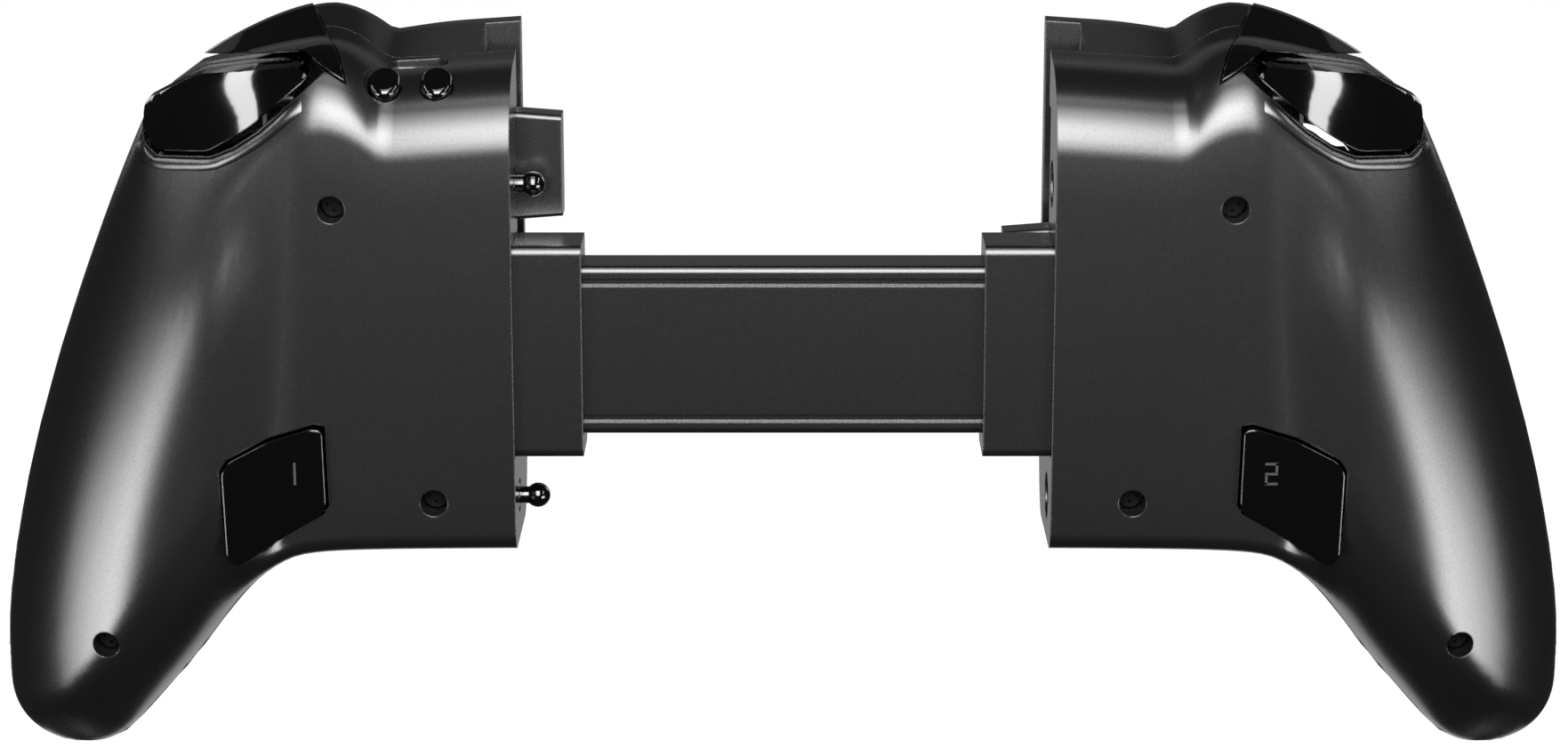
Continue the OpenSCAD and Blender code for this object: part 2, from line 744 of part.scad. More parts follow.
// A rubber strip on the slot's end wall, below both halves' tabs
pad_t = 1.2;
module slot_pad(side) {
    color(RUBBER) half(side)
        box([slot_d - pad_t, slot_back_y + 1.4, 1.5 - slot_drop],
            [slot_d, slot_front_y - 1.2, left_tab_z - tab_h / 2 - 1.2]);
}

tab_flange = 1.4;
module support_tab(side) {
    z = side == LEFT ? left_tab_z : right_tab_z;
    tip = 0.55;
    r = 0.8;
    color(SATIN) half(side) {
        hull() {
            x_bar(-tab_reach, eps - tab_reach, tab_y, tab_y + tab_t,
                  z - tab_h / 2 + tip, z + tab_h / 2 - tip, r);
            x_bar(0, slot_d - 0.3, tab_y, tab_y + tab_t, z - tab_h / 2, z + tab_h / 2, r);
        }
        // Its root is a little thinner, where it passes through the slot's end wall
        x_bar(slot_d - 0.3 - eps, slot_end_u + eps, tab_y, tab_y + tab_t - 0.3,
              z - tab_h / 2, z + tab_h / 2, r);
        box([slot_end_u, slot_back_y + 0.2, z - tab_h / 2 - 1.5],
            [slot_end_u + tab_flange, tab_y + tab_t + 0.9, z + tab_h / 2 + 1.5]);
    }
}

module pin_sockets() {
    color(GLOSS) half(LEFT) for (s = [-1, 1])
        translate([0.3, pin_y, s * pin_z]) rotate([0, 90, 0]) difference() {
            cylinder(r = socket_r, h = slot_end_u - 1.3);
            translate([0, 0, -1]) cylinder(r = ball_r + 0.4, h = slot_end_u - 1.3);
            translate([0, 0, -eps]) cylinder(r1 = ball_r + 0.9, r2 = ball_r + 0.4, h = 0.6);
        }
}
module ball_pins() {
    color(GLOSS) half(RIGHT) for (s = [-1, 1]) {
        x_rod(pin_y, s * pin_z, pin_shaft_r, -ball_reach, slot_end_u - 1.2);
        x_rod(pin_y, s * pin_z, ball_r, 0, 0.8);
        translate([-ball_reach, pin_y, s * pin_z]) sphere(r = ball_r);
    }
}

module hinge_pins(side) {
    color(STEEL) half(side) {
        x_rod(trigger_pivot_y, trigger_pivot_z, hinge_r - 0.02, trigger_pin_a - 1, trigger_pin_b);
        y_rod(bumper_pivot_u, bumper_pivot_z, hinge_r - 0.02, bumper_pin_a, bumper_pin_b + 1);
        z_rod(paddle_pin_u, paddle_pin_y, hinge_r - 0.02, paddle_pin_a - 1, paddle_pin_b);
    }
}

// The bumper: a moulded cap over the top edge, with a lug on its hinge pin
module bumper(side) {
    a = bumper_pin_a + ear_t + 0.3;
    b = bumper_pin_b - 0.3;
    color(GLOSS) half(side) {
        intersection() {
            difference() {
                form_part(-0.2, 17, 62, 12);
                form_part(cap_skin, 15, 64, 12);
            }
            bumper_region(cap_gap);
        }
        difference() {
            union() {
                y_rod(bumper_pivot_u, bumper_pivot_z, hinge_r + 1, a, b);
                box([bumper_pivot_u - 1, a, bumper_pivot_z + 1.2], [bumper_pivot_u + 1, b, peak_z - 2]);
            }
            y_rod(bumper_pivot_u, bumper_pivot_z, hinge_r + pin_fit - 0.02, a - 1, b + 1);
        }
    }
}

// The trigger: a cap over the shoulder, with a lug on its hinge pin
module trigger(side) {
    a = trigger_pin_a + 0.3;
    b = trigger_pin_b - ear_t - trigger_spring_l - 0.6;
    color(GLOSS) half(side) difference() {
        union() {
            intersection() {
                difference() {
                    form_part(-trigger_proud, 27, 60, 15);
                    form_part(cap_skin, 25, 62, 12);
                }
                y_prism(trigger_cap, -40, part_y + 0.5);
            }
            x_rod(trigger_pivot_y, trigger_pivot_z, trigger_lug_r, a, b);
            box([a, trigger_pivot_y - 1, trigger_pivot_z + hinge_r + 0.5],
                [b, trigger_pivot_y + 1, trigger_pivot_z + 5.3]);
        }
        x_rod(trigger_pivot_y, trigger_pivot_z, hinge_r + pin_fit - 0.02, a - 1, b + 1);
    }
}

// A torsion spring's closed coil on the hinge pin, with its two legs
module trigger_spring(side) {
    u = trigger_pin_b - ear_t - trigger_spring_l - 0.3;
    color(STEEL) half(side) {
        difference() {
            x_rod(trigger_pivot_y, trigger_pivot_z, hinge_r + 0.9, u, u + trigger_spring_l);
            x_rod(trigger_pivot_y, trigger_pivot_z, hinge_r + 0.3, u - 1, u + trigger_spring_l + 1);
        }
        box([u, trigger_pivot_y - 0.3, trigger_pivot_z - 5], [u + 0.6, trigger_pivot_y + 0.3, trigger_pivot_z - 1.6]);
    }
}

module paddle(side) {
    surface = -back_depth - paddle_proud;
    centre = [37, -22];
    a = paddle_pin_a + 0.3;
    b = paddle_pin_b - ear_t - 0.3;
    color(GLOSS) half(side) difference() {
        union() {
            difference() {
                y_prism(grown(paddle_outline, centre, 1 - paddle_gap / 8), surface, surface + paddle_t);
                paddle_numeral(side);
            }
            z_rod(paddle_pin_u, paddle_pin_y, hinge_r + 0.9, a, b);
            box([paddle_pin_u - 1, surface + paddle_t - 0.2, a], [paddle_pin_u + 1, paddle_pin_y, b]);
        }
        z_rod(paddle_pin_u, paddle_pin_y, hinge_r + pin_fit - 0.02, a - 1, b + 1);
    }
}

// A plain numeral cut into each paddle: 1 on the right, 2 on the left
module paddle_numeral(side) {
    y = -back_depth - paddle_proud - 1;
    s = 0.45;
    u = 34;
    z = -18.6;
    if (side == RIGHT) {
        box([u - s / 2, y, z - 1.6], [u + s / 2, y + 1.2, z + 1.6]);
    }
    if (side == LEFT) {
        for (dz = [-1.6, 0, 1.6]) box([u - 1, y, z + dz - s / 2], [u + 1, y + 1.2, z + dz + s / 2]);
        box([u + 1 - s / 2, y, z], [u + 1 + s / 2, y + 1.2, z + 1.6 + s / 2]);
        box([u - 1 - s / 2, y, z - 1.6 - s / 2], [u - 1 + s / 2, y + 1.2, z]);
    }
}

// Stick: housing on the board, a carrier that clicks, a yoke and a stem in gimbal
gimbal_w = 12;
yoke_r = 4.4;
stub_r = 0.6;
housing_w = 15.4;
housing_collar_y = 2.6;
housing_front = board_y + board_t + 6.7;
module at_stick(side) {
    p = stick_place(side);
    half(side) translate([p[0], stick_pivot_y, p[1]]) children();
}
module centred(w, y_a, y_b) {
    box([-w / 2, y_a, -w / 2], [w / 2, y_b, w / 2]);
}
module stick_housing(side) {
    floor_y = board_y + board_t - stick_pivot_y;
    color(STEEL) at_stick(side) difference() {
        union() {
            centred(housing_w, floor_y, housing_collar_y);
            y_rod(0, 0, housing_w / 2, housing_collar_y - 1, housing_front - stick_pivot_y);
        }
        centred(gimbal_w + 0.5, floor_y + 0.4, housing_collar_y - 0.15);
        y_rod(0, 0, 4.6, 0, 20);
    }
}
module stick_carrier(side) {
    color(SILICONE) at_stick(side) difference() {
        centred(gimbal_w, -1.6, 1.9);
        centred(2 * yoke_r + 0.8, -5, 5);
        x_rod(0, 0, stub_r + pin_fit, -20, 20);
    }
}
module stick_yoke(side) {
    color(GLOSS) at_stick(side) difference() {
        union() {
            y_rod(0, 0, yoke_r, -0.7, 0.9);
            x_rod(0, 0, stub_r, -gimbal_w / 2 + 0.2, gimbal_w / 2 - 0.2);
        }
        y_rod(0, 0, yoke_r - 1.3, -5, 5);
        z_rod(0, 0, stub_r + pin_fit, -20, 20);
    }
}
stem_r = 1.5;
module stick_stem(side) {
    color(SILICONE) at_stick(side) {
        sphere(r = 1.8);
        y_rod(0, 0, stem_r, 0, 12);
        z_rod(0, 0, stub_r, 0.3 - yoke_r, yoke_r - 0.3);
    }
}
// The cap: a dome under the shell's opening, a neck and a dished top
module stick_cap(side) {
    dome_r = stick_well_r - 0.8;
    top = front_depth + stick_rise - stick_pivot_y;
    color(RUBBER) at_stick(side) rotate([-90, 0, 0]) {
        difference() {
            rotate_extrude() difference() {
                union() {
                    intersection() {
                        difference() {
                            circle(r = dome_r);
                            circle(r = dome_r - 1.2);
                        }
                        translate([0, 6.4]) square([20, 20]);
                    }
                    translate([0, 7.4]) square([3.6, top - 10]);
                    translate([0, top - 3.6]) square([stick_cap_r, 2.4]);
                    translate([0, top - 1.2]) square([stick_cap_r - 0.6, 1.2]);
                }
                translate([0, top + 8.6]) circle(r = 9.8);
                translate([-20, -20]) square([20, 60]);
            }
            translate([0, 0, 2]) cylinder(r = stem_r + 0.02, h = 10.05);
        }
    }
}

// Directional pad: a cross that rocks on a pivot pad over a rubber membrane
module dpad_cross(gap, y_a, y_b) {
    a = dpad_arm / 2 + gap;
    w = dpad_w / 2 + gap;
    p = dpad_place;
    box([p[0] - w, y_a, p[1] - a], [p[0] + w, y_b, p[1] + a]);
    box([p[0] - a, y_a, p[1] - w], [p[0] + a, y_b, p[1] + w]);
}
dpad_top = front_depth + 1.4;
dpad_pivot_y = board_y + board_t + 2.6;
dpad_ball_r = 3.3;
module dpad() {
    p = dpad_place;
    color(GLOSS) half(LEFT) difference() {
        dpad_cross(0, dpad_pivot_y + 2, dpad_top);
        translate([p[0], dpad_pivot_y, p[1]]) sphere(r = dpad_ball_r + pin_fit);
        translate([p[0], dpad_top + 22.6, p[1]]) sphere(r = 24, $fn = 64);
    }
}
module dpad_pivot() {
    p = dpad_place;
    color(SILICONE) half(LEFT) {
        y_rod(p[0], p[1], 2, board_y + board_t + membrane_t + 0.3, dpad_pivot_y + 1);
        intersection() {
            translate([p[0], dpad_pivot_y, p[1]]) sphere(r = dpad_ball_r);
            box([0, dpad_pivot_y, -far], [far, far, far]);
        }
    }
}
membrane_t = 0.8;
module membrane_sheet(low, high) {
    box([low[0], board_y + board_t, low[1]], [high[0], board_y + board_t + membrane_t, high[1]]);
}
module membrane_dome(p) {
    y_rod(p[0], p[1], 1.6, board_y + board_t, board_y + board_t + membrane_t + 1);
}
module dpad_membrane() {
    p = dpad_place;
    r = dpad_w / 2 - 3;
    color(SILICONE) half(LEFT) {
        membrane_sheet(p - [10.5, 11], p + [11, 11]);
        for (d = [[r, 0], [-r, 0], [0, r], [0, -r]]) membrane_dome(p + d);
    }
}
module face_button_membrane() {
    p = face_place;
    color(SILICONE) half(RIGHT) {
        difference() {
            membrane_sheet(p - [12, 13], p + [11, 8]);
            screw_posts_clear();
        }
        for (d = face_steps) membrane_dome(p + d * 0.9);
    }
}

button_flange = 0.55;
// A round button: cap through the deck, flange behind it, hollow foot over its dome
module round_button(side, p, r) {
    foot_y = board_y + board_t + membrane_t + 1.7;
    top = front_depth + button_rise;
    color(GLOSS) half(side) difference() {
        union() {
            y_rod(p[0], p[1], r, foot_y, top - 0.5);
            y_rod(p[0], p[1], r - 0.5, foot_y, top);
            y_rod(p[0], p[1], r + button_flange, deck_y - 1.2, deck_y - 0.15);
        }
        y_rod(p[0], p[1], r - 1.1, foot_y - 1, foot_y + 3);
    }
}
module face_button(i) {
    round_button(RIGHT, face_place + face_steps[i], face_button_r);
}

// The two small buttons on the right half's shoulder, and the charging socket
pill_places = [11.3, 19.3];
pill_angle = 36;
module at_pill(u) {
    translate([u, shoulder_y, shoulder_z]) rotate([pill_angle, 0, 0])
        translate([0, 0, shoulder_r]) children();
}
module pill_button(u) {
    color(GLOSS) half(RIGHT) at_pill(u) {
        pill(pill_w, pill_l, -3.4, 0.2);
        pill(pill_w - 0.8, pill_l - 0.8, -3.4, 0.6);
        pill(pill_w + 1.1, pill_l + 1.1, -4, -3.1);
    }
}
usb_y = 1.8;
module usb_stadium(w, h, z_a, z_b) {
    run = (w - h) / 2;
    translate([usb_u, usb_y, 0]) {
        box([-run, -h / 2, z_a], [run, h / 2, z_b]);
        for (s = [-1, 1]) z_rod(s * run, 0, h / 2, z_a, z_b);
    }
}
usb_top = shoulder_top_z - 1.6;
usb_body_l = 7.4;
module usb_opening() {
    usb_stadium(usb_w, usb_h, usb_top - usb_body_l - 1, far);
}
module usb_c_socket() {
    color(STEEL) half(RIGHT) {
        difference() {
            usb_stadium(usb_w - 0.5, usb_h - 0.3, usb_top - usb_body_l, usb_top);
            usb_stadium(usb_w - 1.1, usb_h - 0.9, usb_top - usb_body_l + 1, usb_top + 1);
        }
        box([usb_u - 3.3, usb_y - 0.35, usb_top - usb_body_l + 0.5],
            [usb_u + 3.3, usb_y + 0.35, usb_top - 1]);
        box([usb_u - 4, usb_y - 1, 28], [usb_u + 4, usb_y + 0.2, usb_top - usb_body_l]);
        box([usb_u - 4, usb_y, 28], [usb_u + 4, board_y, 29.2]);
    }
}
module battery() {
    color(CELL) half(RIGHT) difference() {
        box([51, board_y - 7, -34], [65, board_y, -9]);
        box([50, board_y - 2, -11], [55, board_y + 1, 0]);
    }
}

bridge_tube();
tube_slide_bars();
ribbon_cable();
collar(LEFT);  // left_collar
collar_bars(LEFT);  // left_collar_bars
collar(RIGHT);  // right_collar
collar_bars(RIGHT);  // right_collar_bars
back_shell(LEFT);  // left_back_shell
front_shell(LEFT);  // left_front_shell
screws(LEFT);  // left_screws
main_board(LEFT);  // left_main_board
slot_pad(LEFT);  // left_slot_pad
support_tab(LEFT);  // left_support_tab
pin_sockets();  // left_pin_sockets
hinge_pins(LEFT);  // left_hinge_pins
bumper(LEFT);  // left_bumper
trigger(LEFT);  // left_trigger
trigger_spring(LEFT);  // left_trigger_spring
paddle(LEFT);  // left_paddle
stick_housing(LEFT);  // left_stick_housing
stick_carrier(LEFT);  // left_stick_carrier
stick_yoke(LEFT);  // left_stick_yoke
stick_stem(LEFT);  // left_stick_stem
stick_cap(LEFT);  // left_stick_cap
dpad_membrane();
dpad_pivot();
dpad();
round_button(LEFT, menu_place, menu_button_r);  // view_button
round_button(LEFT, home_place, menu_button_r);  // home_button
back_shell(RIGHT);  // right_back_shell
front_shell(RIGHT);  // right_front_shell
screws(RIGHT);  // right_screws
main_board(RIGHT);  // right_main_board
slot_pad(RIGHT);  // right_slot_pad
support_tab(RIGHT);  // right_support_tab
ball_pins();  // right_ball_pins
hinge_pins(RIGHT);  // right_hinge_pins
bumper(RIGHT);  // right_bumper
trigger(RIGHT);  // right_trigger
trigger_spring(RIGHT);  // right_trigger_spring
paddle(RIGHT);  // right_paddle
stick_housing(RIGHT);  // right_stick_housing
stick_carrier(RIGHT);  // right_stick_carrier
stick_yoke(RIGHT);  // right_stick_yoke
stick_stem(RIGHT);  // right_stick_stem
stick_cap(RIGHT);  // right_stick_cap
face_button_membrane();
face_button(0);  // face_button_top
face_button(1);  // face_button_bottom
face_button(2);  // face_button_inner
face_button(3);  // face_button_outer
round_button(RIGHT, menu_place, menu_button_r);  // menu_button
pill_button(pill_places[1]);  // lock_button
pill_button(pill_places[0]);  // pair_button
usb_c_socket();
battery();
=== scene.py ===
"""Telescopic phone controller seen from its back: two moulded grips on a sliding bridge."""

from __future__ import annotations

import json
import logging
import math
from dataclasses import dataclass, field
from enum import Enum

import bmesh
import bpy
from mathutils import Matrix, Vector

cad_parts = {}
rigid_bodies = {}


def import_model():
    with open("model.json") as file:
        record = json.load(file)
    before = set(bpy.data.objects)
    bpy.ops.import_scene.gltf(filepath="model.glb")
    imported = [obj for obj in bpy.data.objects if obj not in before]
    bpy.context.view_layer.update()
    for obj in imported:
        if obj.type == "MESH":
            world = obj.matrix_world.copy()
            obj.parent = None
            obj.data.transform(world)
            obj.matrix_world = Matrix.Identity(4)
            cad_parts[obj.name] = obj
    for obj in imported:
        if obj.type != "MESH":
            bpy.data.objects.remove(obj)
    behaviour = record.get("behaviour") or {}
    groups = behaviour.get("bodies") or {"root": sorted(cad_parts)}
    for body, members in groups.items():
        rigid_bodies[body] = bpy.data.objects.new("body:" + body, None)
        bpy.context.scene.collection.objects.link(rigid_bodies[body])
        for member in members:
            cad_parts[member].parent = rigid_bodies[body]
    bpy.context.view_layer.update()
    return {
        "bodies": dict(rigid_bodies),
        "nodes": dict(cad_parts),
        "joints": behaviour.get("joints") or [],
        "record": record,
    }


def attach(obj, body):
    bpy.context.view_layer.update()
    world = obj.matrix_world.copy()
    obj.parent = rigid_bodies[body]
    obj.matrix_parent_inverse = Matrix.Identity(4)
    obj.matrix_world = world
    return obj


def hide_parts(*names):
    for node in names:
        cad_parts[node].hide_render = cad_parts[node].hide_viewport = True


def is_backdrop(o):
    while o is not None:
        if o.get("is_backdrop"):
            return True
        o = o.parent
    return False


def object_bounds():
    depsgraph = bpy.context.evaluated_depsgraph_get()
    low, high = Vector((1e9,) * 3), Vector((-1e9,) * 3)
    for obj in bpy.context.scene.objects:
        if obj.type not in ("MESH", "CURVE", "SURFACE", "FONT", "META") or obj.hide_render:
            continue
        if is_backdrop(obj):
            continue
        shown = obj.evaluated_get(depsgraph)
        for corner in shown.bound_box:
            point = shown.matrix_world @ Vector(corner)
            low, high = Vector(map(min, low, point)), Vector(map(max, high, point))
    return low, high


LOG = logging.getLogger("controller")
MM = 0.001  # metres in a millimetre
FAR = 200.0  # past the form in any direction
BEYOND = 60.0  # past its front
BEHIND = -40.0  # past its back
BEFORE = -3.0  # before a half's inner face
Point = tuple[float, float, float]
Pair = tuple[float, float]
Pairs = tuple[Pair, ...]
Outline = list[Pair]


class Side(Enum):
    """The two halves, named for the player's hands."""

    LEFT = 1
    RIGHT = -1

    @property
    def word(self) -> str:
        """The half's name as the frame's nodes begin."""
        return self.name.lower()


class Axis(Enum):
    """Direction of a rod."""

    U = "u"
    Y = "y"
    Z = "z"


def ease(a: float, b: float, u: float) -> float:
    """Smooth step from 0 at a to 1 at b."""
    t = min(1.0, max(0.0, (u - a) / (b - a)))
    return t * t * (3 - 2 * t)


def mix(a: float, b: float, t: float) -> float:
    """Value between a and b at share t."""
    return a + (b - a) * t


def pill(run: float, r: float) -> Outline:
    """A pill's outline, with its ends of radius r centred at run above and below the middle.

    Args:
        run: Half distance between the centres of its ends.
        r: Radius of its ends.

    Returns:
        Its corners, in order.
    """
    turns = [math.radians(a) for a in range(0, 181, 15)]
    half = [(r * math.cos(t), run + r * math.sin(t)) for t in turns]
    return half + [(-a, -b) for a, b in half]


@dataclass(frozen=True)
class GripForm:
    """The moulded outer form of one half, in millimetres from its inner face.

    The names ending in _u are distances from the inner face and those in _z heights. The block_ and grip_
    pairs hold the height and depth of a section's corners near the inner face and where the grip is full,
    but block_edge the radius of the front's top edge at the inner face and further out.
    """

    inner_x: float = 41.6
    half_w: float = 83.0
    back_depth: float = 12.2
    front_depth: float = 19.8
    top_z: float = 48.0
    shoulder_drop: float = 4.2
    block_drop: float = 31.6
    grip_drop: float = 68.2
    tip_r: float = 11.5
    under_angle: float = 48.6
    widest_drop: float = 50.5
    crease_u: float = 33.9
    flank_angle: float = 6.0
    shoulder_r: float = 12.8
    peak_u: float = 31.3
    peak_z: float = 51.2
    bumper_end_u: float = 57.0
    bumper_end_z: float = 36.7
    middle_y: float = 3.4
    corner_steps: int = 16
    side_steps: int = 9
    crease_slant: float = 0.08
    slant_reach: float = 32.0
    slant_end: float = 22.0
    block_edge: Pair = (1.5, 9)
    block_back_low: Pair = (3, 3)
    block_front_low: Pair = (42, 11)
    grip_back_top: Pair = (45, 15)
    grip_back_low: Pair = (20, 12)
    grip_front_top: Pair = (42, 15)
    grip_front_low: Pair = (40, 15)
    corner_share: float = 0.94
    least_r: float = 0.4
    thin_start: float = 16.0
    swell: float = 1.0
    outer_round: float = 24.0
    inner_round: float = 14.0
    fullness: float = 1.75

    def top_edge(self, u: float) -> float:
        """Height of the outline's top at u.

        Args:
            u: Distance from the inner face.

        Returns:
            The height.
        """
        if u > self.bumper_end_u:
            left = max(0.0, self.half_w - u) / (self.half_w - self.bumper_end_u)
            return (self.bumper_end_z + self.widest_drop) * left ** 0.66 - self.widest_drop
        if u > self.peak_u:
            run = (u - self.peak_u) / (self.bumper_end_u - self.peak_u)
            return self.peak_z - (self.peak_z - self.bumper_end_z) * run ** 1.75
        rise = self.peak_z - 3.5 * max(0.0, (self.peak_u - u) / 8.9) ** 1.8
        return max(self.top_z - 0.067 * u, rise)

    def bottom_edge(self, u: float) -> float:
        """Height of the outline's underside at u.

        Args:
            u: Distance from the inner face.

        Returns:
            The height.
        """
        tip_u = self.half_w - self.tip_r
        tip_z = self.tip_r - self.grip_drop
        angle = math.radians(self.under_angle)
        tangent_u = tip_u - self.tip_r * math.sin(angle)
        tangent_z = tip_z - self.tip_r * math.cos(angle)
        if u > tangent_u:
            u = min(u, self.half_w)
            return tip_z - math.sqrt(max(0.0, self.tip_r ** 2 - (u - tip_u) ** 2))
        a = -self.block_drop
        b = tangent_z - (u - tangent_u) * math.tan(angle)
        return (a + b) / 2 - math.sqrt(((a - b) / 2) ** 2 + 2.3 ** 2)

    def _corner(self, cy: float, cz: float, ry: float, rz: float, start: float) -> Outline:
        """A quarter ellipse of the section, from start to start + 90 degrees."""
        turns = [math.radians(start + 90 * i / self.corner_steps) for i in range(self.corner_steps + 1)]
        return [(cy + ry * math.cos(t), cz + rz * math.sin(t)) for t in turns]

    def section(self, u: float, w: float) -> list[Point]:
        """The closed section at u, drawn in by w.

        Args:
            u: Distance from the half's inner face.
            w: Distance by which the section is drawn in; negative stands proud.

        Returns:
            Points round the section, in half coordinates.
        """
        near, beyond = self.top_edge(u), self.top_edge(u + w)
        top = (min(near, beyond) if w > 0 else max(near, beyond)) - w
        lows = (self.bottom_edge(max(0.0, u - w)), self.bottom_edge(u + w))
        low = (max(lows) if w > 0 else min(lows)) + w
        grip = ease(self.crease_u, self.bumper_end_u + 5, u)
        edge = mix(*self.block_edge, ease(8, 30, u))
        drop = self.shoulder_drop * (1 - grip)
        high = (top - low) * self.corner_share
        sizes = [(mix(a[0], b[0], grip), mix(a[1], b[1], grip)) for a, b in (
            ((self.shoulder_r, self.shoulder_r + 0.6), self.grip_back_top),
            (self.block_back_low, self.grip_back_low),
            ((edge, edge), self.grip_front_top),
            (self.block_front_low, self.grip_front_low))]
        back_k = min(1.0, (high - drop) / (sizes[0][0] + sizes[1][0]))
        front_k = min(1.0, high / (sizes[2][0] + sizes[3][0]))
        (r_bt, y_bt), (r_bl, y_bl), (r_ft, y_ft), (r_fl, y_fl) = (
            (max(self.least_r, r * k - w), max(self.least_r, y - w))
            for (r, y), k in zip(sizes, (back_k, back_k, front_k, front_k)))
        back, front = w - self.back_depth, self.front_depth - w
        corners = [
            self._corner(front - y_ft, top - r_ft, y_ft, r_ft, 0),
            self._corner(back + y_bt, top - drop - r_bt, y_bt, r_bt, 90),
            self._corner(back + y_bl, low + r_bl, y_bl, r_bl, 180),
            self._corner(front - y_fl, low + r_fl, y_fl, r_fl, 270),
        ]
        flat: Outline = []
        for i, corner in enumerate(corners):
            flat += corner
            a, b = corner[-1], corners[(i + 1) % 4][0]
            flat += [(mix(a[0], b[0], k / self.side_steps), mix(a[1], b[1], k / self.side_steps))
                     for k in range(1, self.side_steps)]
        run = self.half_w - self.crease_u - self.thin_start
        reach = min(1.0, max(0.0, (u + w - self.crease_u - self.thin_start) / run))
        thin = math.sqrt(max(0.0001, 1 - reach ** 2.4))
        return [self._shaped(u, y, z, thin, w) for y, z in flat]

    def _shaped(self, u: float, y: float, z: float, thin: float, w: float) -> Point:
        """Turns the flank away beyond the crease, thins the outer edge and slants the crease.

        Args:
            u: The section's station.
            y: Depth in the plain section.
            z: Height in the plain section.
            thin: Share by which the outer edge is thinned.
            w: Distance by which the section is drawn in.

        Returns:
            The point in half coordinates.
        """
        share = min(1.0, max(0.0, (self.middle_y - y) / (self.middle_y + self.back_depth)))
        turned = y + share * math.tan(math.radians(self.flank_angle)) * max(0.0, u - self.crease_u)
        plain = self.middle_y + (turned - self.middle_y) * thin
        blend = ease(self.crease_u, self.crease_u + 13, u) * (1 - ease(8, 27, z)) * ease(0, 0.25, share)
        if blend > 0:
            plain = mix(plain, self._palm(u, z, w), blend)
        return (u - self._slant(u, z), plain, z)

    def _slant(self, u: float, z: float) -> float:
        """Sideways shift that leans the crease, by the section's station u and the height z.

        Args:
            u: The section's station.
            z: Height.

        Returns:
            The shift towards the inner face.
        """
        lean = ease(8, self.crease_u, u) * (1 - ease(self.crease_u, self.crease_u + self.slant_end, u))
        near = min(self.slant_reach, max(-self.slant_reach, z))
        return self.crease_slant * near * lean

    def _palm(self, u: float, z: float, w: float) -> float:
        """Depth of the palm side, rounded by the distance from both edges of the grip.

        Args:
            u: The section's station.
            z: Height.
            w: Distance by which the section is drawn in.

        Returns:
            The depth, which is negative behind.
        """
        outer, inner = OUTLINES
        deep = self.middle_y + self.back_depth + self.swell * ease(self.crease_u, self.crease_u + 14, u) - w
        for edge, r in ((outer, self.outer_round), (inner, self.inner_round)):
            gap = min((u - a) ** 2 + (z - b) ** 2 for a, b in edge) ** 0.5 - w
            left = 1 - min(r, max(0.0, gap)) / r
            deep *= max(0.0, 1 - left ** self.fullness) ** (1 / self.fullness)
        return self.middle_y - deep

    def back_y(self, u: float, z: float) -> float:
        """Depth of the form's back surface at u and z.

        Args:
            u: Distance from the inner face.
            z: Height.

        Returns:
            The depth, which is negative behind.
        """
        station = u
        for _ in range(5):
            station = u + self._slant(station, z)
        ring = self.section(station, 0.0)
        found = []
        for a, b in zip(ring, ring[1:] + ring[:1]):
            if a[1] < self.middle_y and a[2] != b[2] and min(a[2], b[2]) <= z <= max(a[2], b[2]):
                found.append(mix(a[1], b[1], (z - a[2]) / (b[2] - a[2])))
        return min(found) if found else self.middle_y

    def outlines(self) -> tuple[Outline, Outline]:
        """The grip's outer and inner edges as seen from behind, as close points.

        Returns:
            The outer edge and the inner edge, in u and z.
        """
        tip_u = self.half_w - self.tip_r
        steps = [mix(20, self.half_w, 1 - (1 - i / 320) ** 2.6) for i in range(321)]
        outer = [(u, self.top_edge(u)) for u in steps]
        outer += [(u, self.bottom_edge(u)) for u in steps if u > tip_u]
        ends = (self.top_edge(self.half_w), self.bottom_edge(self.half_w))
        outer += [(self.half_w, mix(*ends, i / 24)) for i in range(25)]
        inner = [(mix(12, tip_u, i / 240), self.bottom_edge(mix(12, tip_u, i / 240))) for i in range(241)]
        return outer, inner

    def rings(self, w: float) -> list[list[Point]]:
        """Sections of the whole half, closer together towards the tip.

        Args:
            w: Distance by which the sections are drawn in.

        Returns:
            The sections, from the inner face out.
        """
        start = max(0.0, w)
        end = self.half_w - 0.05 - (w + 1 if w > 0 else w)
        block = [mix(start, self.crease_u, i / 22) for i in range(22)]
        grip = [mix(self.crease_u, end, math.sin(math.radians(90 * i / 44))) for i in range(45)]
        return [self.section(u, w) for u in block + grip]

    def part_rings(self, w: float, a: float, b: float, count: int, crown: float = 0.0) -> list[list[Point]]:
        """Sections from a to b, drawn in by w and swelled by crown at the middle.

        Args:
            w: Distance by which the sections are drawn in.
            a: First station.
            b: Last station.
            count: Number of steps between them.
            crown: Swell at the middle.

        Returns:
            The sections, from a to b.
        """
        found = []
        for i in range(count + 1):
            share = i / count
            found.append(self.section(mix(a, b, share), w - crown * math.sin(math.pi * share)))
        return found


FORM = GripForm()
OUTLINES = FORM.outlines()


